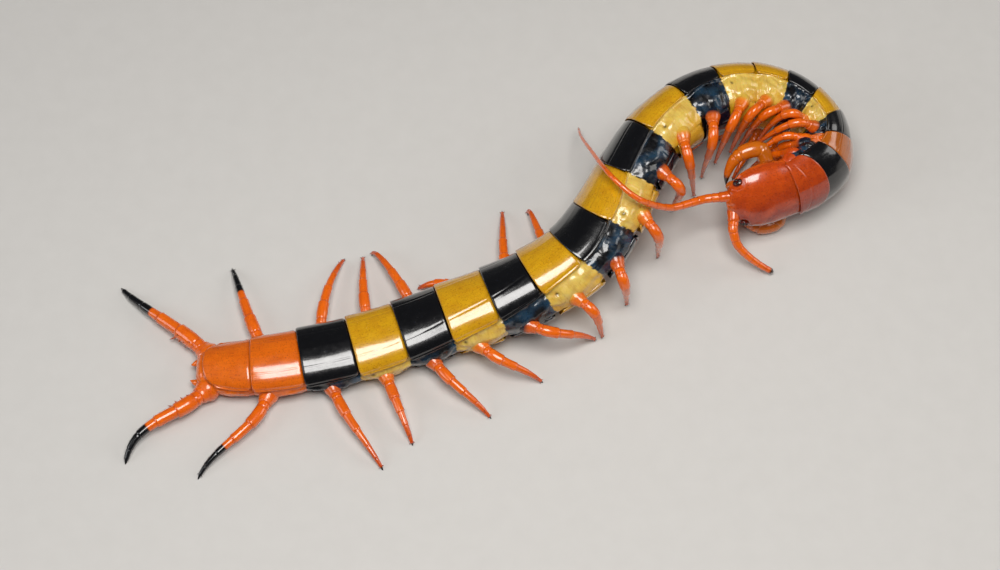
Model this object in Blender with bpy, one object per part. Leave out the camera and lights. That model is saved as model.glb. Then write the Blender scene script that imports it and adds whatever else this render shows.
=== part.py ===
"""Giant centipede at life size: a still, museum-like model of the live animal at rest on the ground.

The animal heads along +X, then bends left and curls tightly round to its right, where its trunk
lies over on its left side.  +Z is up and the floor is z = 0.  Every size below is in millimetres
and every angle in degrees; only the finished meshes are in metres.
"""

import math
from bisect import bisect_right
from collections import namedtuple

import bmesh
import bpy
from mathutils import Matrix, Vector

MM = 0.001
GAP = 0.3
UP = Vector((0.0, 0.0, 1.0))

# The middle of the whole footprint, which becomes the model's origin
FOOTPRINT_MIDDLE = Vector((-2.12, 0.24, 0.0))

# The trunk's joints from the back of the head to the tail: the place of its axis, how far it rolls
# on its left side, how far its plates lean back there, and its half width and half height.
# Segment n lies between joints n - 1 and n.
Joint = namedtuple("Joint", "x y z roll lean half_width half_height")
JOINTS = [
    Joint(57.2, 15.7, 11.4, 56, 0, 6.6, 3.7),
    Joint(62.2, 19.5, 11.0, 58, -3, 7.0, 4.5),
    Joint(65.1, 23.0, 10.8, 62, -8, 7.1, 4.9),
    Joint(66.15, 26.8, 10.9, 66, -10, 7.0, 4.4),
    Joint(64.9, 30.5, 11.1, 69, -7, 7.0, 5.1),
    Joint(61.5, 33.9, 11.7, 73, -4, 6.9, 5.6),
    Joint(56.9, 35.9, 12.4, 77, 0, 7.0, 6.2),
    Joint(51.0, 36.6, 13.0, 80, 0, 7.2, 6.6),
    Joint(44.3, 35.3, 13.5, 78, 0, 7.4, 6.9),
    Joint(37.4, 31.8, 13.7, 71, 3, 7.5, 7.0),
    Joint(30.9, 25.8, 13.5, 66, 14, 7.6, 6.9),
    Joint(25.9, 17.5, 12.9, 62, 21, 7.8, 7.0),
    Joint(21.3, 8.5, 11.8, 52, 23, 8.2, 7.3),
    Joint(15.8, 0.9, 10.2, 40, 18, 8.3, 7.4),
    Joint(7.5, -4.7, 8.5, 28, 9, 8.1, 7.2),
    Joint(-1.0, -8.4, 7.1, 17, 3, 8.0, 6.7),
    Joint(-10.4, -11.4, 5.7, 9, 0, 7.8, 6.0),
    Joint(-19.2, -14.3, 4.7, 3, 0, 7.5, 5.2),
    Joint(-28.5, -17.2, 4.25, 0, 0, 7.3, 4.8),
    Joint(-38.5, -19.5, 3.95, 0, 0, 7.0, 4.5),
    Joint(-48.0, -20.9, 3.7, 0, 0, 6.3, 4.2),
    Joint(-57.4, -21.0, 3.3, 0, 0, 4.6, 3.2),
]
SEGMENTS = len(JOINTS) - 1

# Which segments each length of trunk holds
TRUNK_LENGTHS = [(1, 1)] + [(first, first + 1) for first in range(2, SEGMENTS, 2)]

# Half of a trunk section, from the middle of the back to the middle of the belly, in parts of the
# half width and the half height: the back plate, the soft flank, then the belly plate
BACK = [(0.00, 1.00), (0.32, 0.98), (0.60, 0.88), (0.82, 0.68), (0.94, 0.42)]
FLANK = [(0.87, 0.28), (0.97, 0.02), (0.94, -0.28)]
BELLY = [(0.80, -0.60), (0.56, -0.83), (0.28, -0.92)]

# The gap between two lengths of the trunk, wider at the joint of the tightest bend
LENGTH_GAPS = {3: 0.9}

# Rings of one segment from front to rear: the place along it, then how full the back plate, the
# flank and the belly plate are there
RINGS = [
    (0.00, 0.93, 0.90, 0.94),
    (0.10, 0.98, 0.95, 0.97),
    (0.48, 1.00, 1.00, 1.00),
    (0.90, 1.03, 0.95, 0.99),
]
LAST_RING = (1.00, 0.94, 0.90, 0.94)

# Where a leg grows on the section, out from the middle and down: on an upright trunk, and on the
# upper side of one that lies fully on its side.  On its lower side a leg grows straight below the
# middle, and a little inwards.
UPRIGHT_COXA = (0.86, 0.30)
UPPER_COXA = (0.79, 0.50)
LOWER_COXA_LEAN = 0.42
LOWER_COXA_DEPTH = 0.91
FULL_ROLL = 80.0
ROLL_UNDER = (36.0, 44.0)

# How far the bases of some legs shift along the body, and up the flank: in the tight bend the
# right ones are crowded
LEFT_COXA_SHIFTS = {20: (0.25, 0.0)}
RIGHT_COXA_SHIFTS = {
    1: (0.05, 0.0), 2: (-0.03, 0.0), 3: (-0.34, 0.0), 4: (0.26, 0.2), 5: (0.08, 0.0), 6: (0.3, 0.0),
    7: (0.1, 0.0), 8: (0.05, -0.05), 9: (0.1, -0.1), 10: (0.08, 0.0), 11: (0.12, -0.05),
    12: (0.12, -0.05), 13: (0.12, 0.0), 20: (0.2, 0.0),
}
COXA_SUNK = 2.2
COXA_REACH = 1.9
COXA_RADII = (1.15, 1.1, 0.95)

# How far behind the front of its segment a leg grows, and how far it runs on as it
# leaves: a part of its length, but never down to less than this above the floor, where its middle
# line lies at least this part of its half thickness up
LEG_PLACE = 0.55
LAST_LEG_PLACE = 0.97
LEG_STRIDE = 0.36
LEG_LOW = 0.9
LEG_REST = 0.93
LEG_SIDES = 8

# Half the thickness of the legs near their base: of the first and of a full-grown one, the number
# of the first full-grown one, and of the last two
LEG_RADII = (0.8, 1.2)
FULL_LEG = 12
LAST_LEG_RADII = {20: 1.35, 21: 1.7}

# Outline of a leg from its base to its claw: the part of its length, and of its thickness
LEG_OUTLINE = [
    (0.00, 0.90), (0.12, 1.00), (0.25, 0.86), (0.28, 0.76), (0.47, 0.70),
    (0.50, 0.62), (0.69, 0.50), (0.86, 0.38), (0.95, 0.30), (1.00, 0.10),
]

# Each leg from the first to the last: where its foot is, how steeply it leaves the body, how far it
# arches up and sideways before the foot, how its last stretch runs, from straight to hooked back, and
# how far it leaves square to the body or towards the tail instead of towards its foot.
# The left legs under the laid-over trunk are plain: each runs straight to its foot.
Leg = namedtuple("Leg", "x y z pitch rise bow hook square back", defaults=(0.0, -0.3, 0.7, 0.0))
STRAIGHT = None
LEFT_LEGS = [
    Leg(47.0, 15.5, 0.05, -45, 1),
    Leg(51.0, 18.4, 0.05, -45, 1),
    Leg(51.6, 19.8, 0.05, -45, 1),
    Leg(56.0, 24.6, 0.05, -45, 1),
    Leg(53.8, 26.0, 0.05, -45, 1),
    Leg(50.5, 24.8, 0.05, -45, 1),
    Leg(47.6, 24.8, 0.05, -45, 1),
    Leg(44.6, 34.4, 0.05, STRAIGHT, 0),
    Leg(39.0, 31.6, 0.05, STRAIGHT, 0),
    Leg(33.4, 27.0, 0.05, STRAIGHT, 0),
    Leg(29.0, 21.0, 0.05, STRAIGHT, 0),
    Leg(25.8, 13.0, 0.05, STRAIGHT, 0),
    Leg(21.8, 3.8, 0.05, STRAIGHT, 0),
    Leg(5.7, 16.2, 0.05, -5, 3, 1.0, 0.25),
    Leg(0.4, 17.4, 0.05, 0, 2),
    Leg(-16.4, -0.9, 0.05, 8, 2),
    Leg(-25.8, 6.7, 0.05, 8, 3, 1.0, 0.1),
    Leg(-27.6, 6.6, 0.05, 5, 2),
    Leg(-31.2, 6.1, 0.05, 5, 2, -1.0),
    Leg(-53.8, 3.8, 0.05, 0, 2, 0.0, -0.3, 0.7, 0.3),
    Leg(-75.7, -0.8, 0.05, 0, 1.6, -1.4, -0.3, 0.05),
]
RIGHT_LEGS = [
    Leg(49.5, 23.5, 3.5, -40, 2),
    Leg(53.0, 25.0, 3.5, -35, 2),
    Leg(51.4, 24.1, 11.1, 20, 1.2),
    Leg(51.0, 26.8, 9.2, 43, 2.4),
    Leg(52.0, 29.1, 6.5, 62, 6.4, 0.4),
    Leg(48.8, 29.7, 4.6, 28, 2.0, 0.4),
    Leg(46.8, 28.6, 3.8, 25, 3),
    Leg(43.8, 26.9, 2.5, 10, 2),
    Leg(41.2, 25.0, 0.05, 5, 2),
    Leg(39.6, 20.5, 0.05, 0, 2, 0.0, -0.3, 0.2, 0.8),
    Leg(35.2, 17.4, 0.05, 0, 2, 0.0, -0.3, 0.3, 1.0),
    Leg(31.8, 6.2, 0.05, -5, 2, 0.0, -0.3, 0.3, 0.9),
    Leg(25.3, -4.8, 0.05, -10, 2, 0.0, -0.3, 0.3, 0.7),
    Leg(20.3, -12.1, 0.05, 0, 2),
    Leg(19.1, -12.6, 0.05, 5, 2),
    Leg(8.4, -22.1, 0.05, 5, 2),
    Leg(-1.7, -30.0, 0.05, 5, 2),
    Leg(-16.8, -35.8, 0.05, 5, 2),
    Leg(-22.4, -41.1, 0.05, 5, 2),
    Leg(-57.8, -43.0, 0.05, 5, 2, 1.5),
    Leg(-71.9, -39.8, 0.05, 5, 3, 4.4, -0.3, 0.05),
]

# Spines on the inner side of the last legs: how far along, which way round from straight inwards
# to up, and how long.  The last one is the spur at the end of the first long article.
LAST_LEG_SPINES = [(0.09, -40, 0.55), (0.13, 25, 0.55), (0.17, -15, 0.55), (0.2, 60, 0.55), (0.235, 20, 1.2)]
SPINE_RADII = (0.3, 0.06)
SPINE_SIDES = 4

# Colours as the live animal's: linear red, green and blue
COLOURS = {
    "red": (0.42, 0.045, 0.012),
    "orange": (0.55, 0.115, 0.015),
    "yellow": (0.58, 0.27, 0.03),
    "black": (0.006, 0.008, 0.016),
    "leg": (0.60, 0.085, 0.012),
}
SEGMENT_COLOURS = (
    ["red", "black", "orange", "black", "yellow", "black", "yellow", "yellow"]
    + ["black", "yellow"] * 5
    + ["black", "orange", "orange"]
)
CLAW_START = 0.95
DARK_END = (0.58, 0.57)

# The head, in its own frame: forward, right and up from its middle.  Rings across the shield and
# across the plate that bears the fangs: place, half width, height above and depth below
HEAD_MIDDLE = Vector((51.1, 14.0, 11.2))
HEAD_HEADING = -161.0
HEAD_ROLL = 55.0
HEAD_SIDES = 20
SHIELD_NECK = (6.0, 3.1, 2.4)
SHIELD = [(-4.4, 6.2, 3.2, 2.6), (-2.0, 6.4, 3.3, 2.6), (0.6, 6.2, 3.1, 2.4), (3.0, 5.4, 2.6, 2.1),
          (4.8, 4.1, 1.9, 1.7), (5.8, 2.8, 1.3, 1.3), (6.3, 1.6, 0.7, 0.8)]
FANG_PLATE_NECK = (5.4, -1.0, 3.2)
FANG_PLATE = [(-4.0, 6.4, -0.8, 4.5), (-1.8, 6.3, -0.8, 4.8), (0.6, 5.2, -0.8, 4.8),
              (2.4, 3.4, -0.9, 4.4)]

# Fangs, from their sockets on the plate round below the front of the head
FANG_SIDES = 10
FANG_SOCKET = (-4.6, 4.2, -3.1)
FANG_ROUTE = [(-3.8, 7.4, -3.3), (-1.8, 8.0, -3.5), (0.4, 7.6, -3.8), (2.2, 6.2, -4.3), (3.5, 3.8, -4.9),
              (4.0, 1.6, -5.3)]
FANG_SHIFTS = {1: 0.4, -1: -0.7}
FANG_GAP = 0.4
FANG_SPREADS = {1: 1.05, -1: 1.1}
FANG_RADII = [1.6, 1.7, 1.5, 1.2, 0.75, 0.15]

# Feelers: sockets in the head's frame and routes on the ground's grid
ANTENNA_SIDES = 8
ANTENNA_SOCKET = (5.2, 1.6, 0.0)
ANTENNA_SOCKET_REACH = 2.1
RIGHT_ANTENNA_ROUTE = [
    (40.7, 13.0, 11.6), (37.7, 11.8, 12.0), (34.0, 9.9, 13.4), (30.4, 8.2, 17.0), (26.8, 7.5, 20.6),
    (23.5, 9.5, 22.2), (20.6, 13.4, 21.8), (18.2, 21.9, 15.4), (16.5, 29.8, 8.6), (16.1, 35.5, 3.5),
]
LEFT_ANTENNA_ROUTE = [
    (46.3, 7.6, 8.4), (47.3, 5.6, 6.2), (49.4, 4.3, 4.2), (51.9, 3.3, 2.4), (54.6, 2.4, 1.0),
]
RIGHT_ANTENNA_RADII = (1.1, 0.32)
LEFT_ANTENNA_RADII = (1.15, 0.62)
RIGHT_ANTENNA_ARTICLES = 20
LEFT_ANTENNA_ARTICLES = 9
ARTICLE_SWELL = ((0.0, 0.92), (0.6, 1.05))

# Palps and tooth plates below the front of the head
PALP_ROUTE = [(1.8, 2.4, -1.6), (3.4, 2.6, -3.2), (4.3, 1.9, -4.3), (4.4, 0.9, -4.7)]
PALP_RADII = [0.62, 0.6, 0.48, 0.2]
TOOTH_PLATE = ((1.6, 0.9, -3.4), (3.3, 0.75, -3.5))
TOOTH_PLATE_RADII = (0.7, 0.55)
SMALL_SIDES = 6

# The rounded end of the trunk behind its last joint, as steps back with how wide they are, and the
# two pointed processes below it
TAIL_STEPS = [(-0.9, 0.84), (-1.7, 0.52)]
TAIL_PROCESS = ((-0.2, 2.2, -1.3), (-1.8, 2.1, -1.2), (-3.0, 1.7, -1.0))
TAIL_PROCESS_RADII = (1.0, 0.75, 0.2)

# The four single eyes on each side, on a pad in a hollow of the shield
EYE_PLACE = (3.8, 4.5, 0.9)
EYE_FACING = (0.45, 0.75, 0.6)
EYE_PAD = (1.0, 0.8, 0.35)
EYE_HOLLOW_GAP = 0.45
EYE_RADIUS = 0.36
EYE_SPREAD = (0.5, 0.38)
EYE_SEGMENTS = 8
EYE_RINGS = 5
SHARP_ANGLE = 40.0


def clear_scene():
    """Start from an empty scene."""
    for thing in list(bpy.data.objects):
        bpy.data.objects.remove(thing, do_unlink=True)


def make_material(name, colour):
    """A glossy shell material."""
    material = bpy.data.materials.new(name)
    material.use_nodes = True
    shader = material.node_tree.nodes["Principled BSDF"]
    shader.inputs["Base Color"].default_value = (*colour, 1.0)
    shader.inputs["Roughness"].default_value = 0.3
    shader.inputs["Metallic"].default_value = 0.0
    material.diffuse_color = (*colour, 1.0)
    return material


def smooth_at(values, place):
    """Value at a place counted in joints, on a smooth curve through a list of values."""
    before = min(max(math.floor(place), 0), len(values) - 2)
    t = place - before
    p1 = values[before]
    p2 = values[before + 1]
    p0 = values[before - 1] if before > 0 else p1 * 2 - p2
    p3 = values[before + 2] if before + 2 < len(values) else p2 * 2 - p1
    return (p1 * 2 + (p2 - p0) * t + (p0 * 2 - p1 * 5 + p2 * 4 - p3) * t ** 2
            + (p1 * 3 - p0 - p2 * 3 + p3) * t ** 3) * 0.5


AXIS = [Vector((joint.x, joint.y, joint.z)) for joint in JOINTS]
ROLLS = [joint.roll for joint in JOINTS]
LEANS = [joint.lean for joint in JOINTS]
HALF_WIDTHS = [joint.half_width for joint in JOINTS]
HALF_HEIGHTS = [joint.half_height for joint in JOINTS]


class Frame:
    """A place on the trunk with its own directions: ahead, right and up."""

    def __init__(self, middle, ahead, roll, lean=0.0):
        level_right = ahead.cross(UP).normalized()
        self.middle = middle
        self.ahead = Matrix.Rotation(math.radians(lean), 3, level_right) @ ahead.normalized()
        level_up = level_right.cross(self.ahead)
        turn = math.radians(roll)
        self.right = level_right * math.cos(turn) + level_up * math.sin(turn)
        self.up = level_up * math.cos(turn) - level_right * math.sin(turn)

    def point(self, ahead, right, up):
        """A point given in this frame."""
        return self.middle + self.ahead * ahead + self.right * right + self.up * up


def trunk_frame(place):
    """The frame of the trunk at a place counted in joints from the head."""
    step = 0.02
    ahead = smooth_at(AXIS, place - step) - smooth_at(AXIS, place + step)
    return Frame(smooth_at(AXIS, place), ahead, smooth_at(ROLLS, place), smooth_at(LEANS, place))


def head_frame():
    """The frame of the head."""
    heading = math.radians(HEAD_HEADING)
    return Frame(HEAD_MIDDLE, Vector((math.cos(heading), math.sin(heading), 0.0)), HEAD_ROLL)


def section_outline(back, flank, belly):
    """Points round a whole trunk section, in parts of its half width and half height."""
    half = [(x * back, y * back) for x, y in BACK]
    half += [(x * flank, y * flank) for x, y in FLANK]
    half += [(x * belly, y * belly) for x, y in BELLY]
    left = [(-x, y) for x, y in reversed(half[1:])]
    return half + [(0.0, BELLY[-1][1] * belly)] + left


def trunk_ring(place, fullness, ahead=0.0):
    """One ring of the trunk, moved ahead along the axis by a part of a millimetre."""
    frame = trunk_frame(place)
    half_width = smooth_at(HALF_WIDTHS, place)
    half_height = smooth_at(HALF_HEIGHTS, place)
    return [frame.point(ahead, x * half_width, y * half_height) for x, y in section_outline(*fullness)]


def loft(name, rings, slots, ring_slots=None):
    """A closed body over rings of equal count, with flat ends, kept above the floor."""
    shape = bmesh.new()
    rows = [[shape.verts.new(lay_down(point)) for point in ring] for ring in rings]
    for number, (front, rear) in enumerate(zip(rows, rows[1:])):
        for i in range(len(front)):
            j = (i + 1) % len(front)
            face = shape.faces.new((front[i], front[j], rear[j], rear[i]))
            face.material_index = ring_slots[number] if ring_slots else 0
    first = shape.faces.new(rows[0])
    last = shape.faces.new(rows[-1])
    first.material_index = ring_slots[0] if ring_slots else 0
    last.material_index = ring_slots[-1] if ring_slots else 0
    bmesh.ops.recalc_face_normals(shape, faces=shape.faces)
    return finish_mesh(name, shape, slots)


def lay_down(point):
    """A point of the model from its origin, never below the floor."""
    placed = point - FOOTPRINT_MIDDLE
    placed.z = max(placed.z, 0.0)
    return placed


def finish_mesh(name, shape, slots):
    """Make an object of a mesh that is being edited."""
    mesh = bpy.data.meshes.new(name)
    shape.to_mesh(mesh)
    shape.free()
    for slot in slots:
        mesh.materials.append(MATERIALS[slot])
    thing = bpy.data.objects.new(name, mesh)
    PARTS.objects.link(thing)
    return thing


def move_to(collection, pieces):
    """Move pieces from the model to a helper collection."""
    for piece in pieces:
        PARTS.objects.unlink(piece)
        collection.objects.link(piece)


def combine(body, operation, collection, solver="EXACT"):
    """Join or cut a body with all that a collection holds, and keep its largest closed surface."""
    change = body.modifiers.new(operation.lower(), "BOOLEAN")
    change.solver = solver
    change.operation = operation
    change.operand_type = "COLLECTION"
    change.collection = collection
    apply_modifiers(body)
    for piece in list(collection.objects):
        bpy.data.objects.remove(piece, do_unlink=True)
    keep_largest(body)
    return body


def join_pieces(name, body, pieces):
    """Fuse pieces into a body."""
    body.name = name
    move_to(PIECES, pieces)
    return combine(body, "UNION", PIECES)


def cut_away(body, cutters):
    """Cut closed shapes out of a body."""
    move_to(CUTTERS, cutters)
    for cutter in cutters:
        cutter.display_type = "WIRE"
    return combine(body, "DIFFERENCE", CUTTERS, "MANIFOLD")


def apply_modifiers(body):
    """Replace a body's mesh by the mesh that its modifiers make."""
    bpy.context.view_layer.update()
    evaluated = body.evaluated_get(bpy.context.evaluated_depsgraph_get())
    mesh = bpy.data.meshes.new_from_object(evaluated)
    body.modifiers.clear()
    body.data = mesh


def keep_largest(body):
    """Delete all but the largest closed surface of a body's mesh."""
    shape = bmesh.new()
    shape.from_mesh(body.data)
    left = set(shape.verts)
    islands = []
    while left:
        island = set()
        edge = [left.pop()]
        while edge:
            vert = edge.pop()
            island.add(vert)
            for link in vert.link_edges:
                other = link.other_vert(vert)
                if other in left:
                    left.remove(other)
                    edge.append(other)
        islands.append(island)
    islands.sort(key=len)
    loose = [vert for island in islands[:-1] for vert in island]
    bmesh.ops.delete(shape, geom=loose, context="VERTS")
    shape.to_mesh(body.data)
    shape.free()


def path_directions(points):
    """The direction of a path at each of its points."""
    ends = zip([points[0]] + points[:-1], points[1:] + [points[-1]])
    return [(after - before).normalized() for before, after in ends]


def tube_rings(points, radii, sides, first_side, directions=None):
    """Round rings along a path, carried along it without twist."""
    rings = []
    side = first_side
    for point, radius, along in zip(points, radii, directions or path_directions(points)):
        side = (side - along * side.dot(along)).normalized()
        other = along.cross(side)
        turns = [math.tau * (i + 0.5) / sides for i in range(sides)]
        rings.append([point + (side * math.cos(turn) + other * math.sin(turn)) * radius for turn in turns])
    return rings


def bend(start, first_handle, last_handle, end, t):
    """Point on a cubic curve between two ends with a handle each."""
    s = 1.0 - t
    return (start * s ** 3 + first_handle * (3 * s * s * t) + last_handle * (3 * s * t * t) + end * t ** 3)


def blend(start, end, part):
    """Value part of the way between two."""
    return start + (end - start) * part


class Course:
    """A bent line that is read by parts of its length."""

    STEPS = 48
    REACH = 0.06

    def __init__(self, *curve):
        self.points = [bend(*curve, i / self.STEPS) for i in range(self.STEPS + 1)]
        self.reached = [0.0]
        for start, end in zip(self.points, self.points[1:]):
            self.reached.append(self.reached[-1] + (end - start).length)

    def point(self, part):
        """The point at a part of the length."""
        goal = min(max(part, 0.0), 1.0) * self.reached[-1]
        number = min(bisect_right(self.reached, goal), self.STEPS) - 1
        step = self.reached[number + 1] - self.reached[number]
        return blend(self.points[number], self.points[number + 1], (goal - self.reached[number]) / step)

    def direction(self, part):
        """The direction there, taken over a short stretch so that rings in a bend stay clear."""
        return (self.point(part + self.REACH) - self.point(part - self.REACH)).normalized()


def upper_coxa(place, lift):
    """Where a leg grows on the section of an upright trunk or on the upper side of one laid over."""
    over = min(smooth_at(ROLLS, place) / FULL_ROLL, 1.0)
    out, down = [blend(upright, lying, over) for upright, lying in zip(UPRIGHT_COXA, UPPER_COXA)]
    return (out + lift * 0.4) * smooth_at(HALF_WIDTHS, place), (lift - down) * smooth_at(HALF_HEIGHTS, place)


def lower_coxa(place):
    """Where a leg grows on the under side of a trunk that is laid over."""
    roll = math.radians(smooth_at(ROLLS, place))
    right = LOWER_COXA_LEAN * math.cos(roll) - math.sin(roll)
    up = -LOWER_COXA_LEAN * math.sin(roll) - math.cos(roll)
    across = math.hypot(right / smooth_at(HALF_WIDTHS, place), up / smooth_at(HALF_HEIGHTS, place))
    return right * LOWER_COXA_DEPTH / across, up * LOWER_COXA_DEPTH / across


def coxa_spot(number, side):
    """Where a leg grows just under the skin, and the level directions out from the body and back."""
    place = number - 1 + (LAST_LEG_PLACE if number == SEGMENTS else LEG_PLACE)
    along, lift = (RIGHT_COXA_SHIFTS if side > 0 else LEFT_COXA_SHIFTS).get(number, (0.0, 0.0))
    place += along
    frame = trunk_frame(place)
    right, up = upper_coxa(place, lift)
    right *= side
    if side < 0:
        first, last = ROLL_UNDER
        under = min(max((smooth_at(ROLLS, place) - first) / (last - first), 0.0), 1.0)
        right, up = [blend(start, end, under) for start, end in zip((right, up), lower_coxa(place))]
    back = Vector((-frame.ahead.x, -frame.ahead.y, 0.0)).normalized()
    return frame.point(0.0, right, up), UP.cross(back) * side, back


def leg_radius(number):
    """Half the thickness of a leg near its base."""
    return LAST_LEG_RADII.get(number) or blend(*LEG_RADII, min(number / FULL_LEG, 1.0))


def leg_course(number, side, leg):
    """Where a leg grows, the direction in which it leaves the body, and its course to its claw."""
    spot, square, back = coxa_spot(number, side)
    foot = Vector((leg.x, leg.y, leg.z))
    if leg.pitch is STRAIGHT:
        leaving = (foot - spot).normalized()
        base = spot + leaving * (COXA_REACH + GAP)
        return spot, leaving, Course(base, blend(base, foot, 1 / 3), blend(base, foot, 2 / 3), foot)
    level = foot - spot
    level.z = 0.0
    level.normalize()
    if level.dot(square) < 0.0:
        square = -square
    out = (level + square * leg.square + back * leg.back).normalized()
    pitch = math.radians(leg.pitch)
    leaving = out * math.cos(pitch) + UP * math.sin(pitch)
    base = spot + leaving * (COXA_REACH + GAP)
    span = foot - base
    stride = span.length * LEG_STRIDE
    if leaving.z < 0.0:
        stride = min(stride, max(base.z - LEG_LOW, 0.5) / -leaving.z)
    first_handle = base + leaving * stride
    last_handle = foot + span * leg.hook + UP * leg.rise + level.cross(UP) * leg.bow
    return spot, leaving, Course(base, first_handle, last_handle, foot)


def make_leg(number, side, leg):
    """One walking leg with its podomeres, and its claw on the floor."""
    name = "leg_%s_%02d" % ("right" if side > 0 else "left", number)
    _, leaving, course = leg_course(number, side, leg)
    radius = leg_radius(number)
    outline = sorted(LEG_OUTLINE + [DARK_END]) if number in LAST_LEG_RADII else LEG_OUTLINE
    radii = [radius * thickness for _, thickness in outline]
    points = [course.point(part) for part, _ in outline]
    for point, half_thick in zip(points, radii):
        point.z = max(point.z, half_thick * LEG_REST)
    directions = [leaving] + [course.direction(part) for part, _ in outline[1:]]
    rings = tube_rings(points, radii, LEG_SIDES, leaving.cross(UP), directions)
    dark_from = DARK_END[0] if number in LAST_LEG_RADII else CLAW_START
    ring_slots = [1 if part >= dark_from else 0 for part, _ in outline[:-1]]
    body = loft(name, rings, ("leg", "black"), ring_slots)
    if number < SEGMENTS:
        return body
    inwards = leaving.cross(UP).normalized() * side
    return join_pieces(name, body, make_spines(course, inwards, radius))


def make_spines(course, inwards, radius):
    """The spines of a last leg, on its inner side."""
    spines = []
    for part, turn, length in LAST_LEG_SPINES:
        out = inwards * math.cos(math.radians(turn)) + UP * math.sin(math.radians(turn))
        middle = course.point(part)
        tip = middle + out * (radius * 0.9 + length) + course.direction(part) * length * 0.7
        points = [middle + out * radius * 0.5, tip]
        spines.append(tube("spine", points, SPINE_RADII, SPINE_SIDES, "leg"))
    return spines


def flat_ring(middle, along, radius, sides=LEG_SIDES):
    """One ring square to a direction, as a limb and the socket that it meets share it."""
    return tube_rings([middle - along, middle, middle + along], [radius] * 3, sides, along.cross(UP))[1]


def make_coxa(number, side, leg, slots, slot):
    """The stub that carries a leg, sunk into the trunk and ending in a flat face."""
    spot, leaving, _ = leg_course(number, side, leg)
    radius = leg_radius(number)
    rings = [
        flat_ring(spot - leaving * COXA_SUNK, leaving, radius * COXA_RADII[0]),
        flat_ring(spot + leaving * COXA_REACH / 2, leaving, radius * COXA_RADII[1]),
        flat_ring(spot + leaving * COXA_REACH, leaving, radius * COXA_RADII[2]),
    ]
    return loft("coxa", rings, slots, [slot, slot])


def make_trunk_length(first, last):
    """One length of the trunk with its plates and the stubs of its legs."""
    numbers = range(first, last + 1)
    slots = [SEGMENT_COLOURS[number - 1] for number in numbers]
    rings = []
    ring_slots = []
    for slot, number in enumerate(numbers):
        for along, back, flank, belly in RINGS:
            rings.append(trunk_ring(number - 1 + along, (back, flank, belly)))
            ring_slots.append(slot)
    rings[0] = trunk_ring(first - 1, RINGS[0][1:], -LENGTH_GAPS.get(first - 1, GAP) / 2)
    is_tail = last == SEGMENTS
    rings.append(trunk_ring(last, LAST_RING[1:], 0.0 if is_tail else LENGTH_GAPS.get(last, GAP) / 2))
    if is_tail:
        for back, size in TAIL_STEPS:
            rings.append(trunk_ring(last, [part * size for part in LAST_RING[1:]], back))
        ring_slots += [ring_slots[-1]] * len(TAIL_STEPS)
    name = "trunk_%02d" % first if first == last else "trunk_%02d_%02d" % (first, last)
    body = loft(name, rings, slots, ring_slots)
    pieces = make_tail_processes() if is_tail else []
    for slot, number in enumerate(numbers):
        pieces.append(make_coxa(number, 1, RIGHT_LEGS[number - 1], slots, slot))
        pieces.append(make_coxa(number, -1, LEFT_LEGS[number - 1], slots, slot))
    return join_pieces(name, body, pieces)


def make_tail_processes():
    """The two pointed processes below the end of the trunk."""
    frame = trunk_frame(float(SEGMENTS))
    pieces = []
    for side in (1, -1):
        points = [frame.point(ahead, right * side, up) for ahead, right, up in TAIL_PROCESS]
        pieces.append(tube("process", points, TAIL_PROCESS_RADII, SMALL_SIDES, "orange"))
    return pieces


def oval_ring(frame, ahead, half_width, top, bottom, power=2.4):
    """A rounded ring across the head, with its own height above and depth below."""
    ring = []
    for i in range(HEAD_SIDES):
        turn = math.tau * i / HEAD_SIDES
        x = math.copysign(abs(math.sin(turn)) ** (2 / power), math.sin(turn)) * half_width
        y = math.copysign(abs(math.cos(turn)) ** (2 / power), math.cos(turn))
        ring.append(frame.point(ahead, x, y * (top if y > 0 else bottom)))
    return ring


def head_loft(name, neck, rows):
    """A part of the head from its neck, which faces the trunk, to its front."""
    frame = head_frame()
    rings = [oval_ring(trunk_frame(0.0), GAP / 2, *neck)]
    rings += [oval_ring(frame, *row) for row in rows]
    return loft(name, rings, ("red",))


def tube(name, points, radii, sides, slot):
    """A small round piece with flat ends."""
    side = (points[1] - points[0]).cross(UP).normalized()
    return loft(name, tube_rings(points, radii, sides, side), (slot,))


def antenna_line(side):
    """Socket and points of a feeler."""
    frame = head_frame()
    ahead, right, up = ANTENNA_SOCKET
    socket = frame.point(ahead, right * side, up)
    route = [Vector(point) for point in (RIGHT_ANTENNA_ROUTE if side > 0 else LEFT_ANTENNA_ROUTE)]
    along = (route[0] - socket).normalized()
    return socket, along, [socket + along * (ANTENNA_SOCKET_REACH + GAP)] + route


def make_antenna(side):
    """A tapering feeler of short articles."""
    radii = RIGHT_ANTENNA_RADII if side > 0 else LEFT_ANTENNA_RADII
    articles = RIGHT_ANTENNA_ARTICLES if side > 0 else LEFT_ANTENNA_ARTICLES
    _, along, points = antenna_line(side)
    line = []
    sizes = []
    for number in range(articles):
        for part, swell in ARTICLE_SWELL:
            reached = (number + part) / articles
            line.append(smooth_at(points, reached * (len(points) - 1)))
            sizes.append(blend(radii[0], radii[1], reached) * swell)
    line.append(points[-1])
    sizes.append(radii[1] * 0.6)
    rings = tube_rings(line, sizes, ANTENNA_SIDES, along.cross(UP).normalized())
    rings[0] = flat_ring(line[0], along, sizes[0], ANTENNA_SIDES)
    return loft("antenna_right" if side > 0 else "antenna_left", rings, ("leg",))


def fang_line(side):
    """Socket and points of a fang."""
    frame = head_frame()
    place = [frame.point(ahead + FANG_SHIFTS[side], right * side * FANG_SPREADS[side], up)
             for ahead, right, up in [FANG_SOCKET] + FANG_ROUTE]
    along = (place[1] - place[0]).normalized()
    points = place[1:]
    points[0] = points[0] + along * FANG_GAP
    return place[0], along, place[1], points


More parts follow.
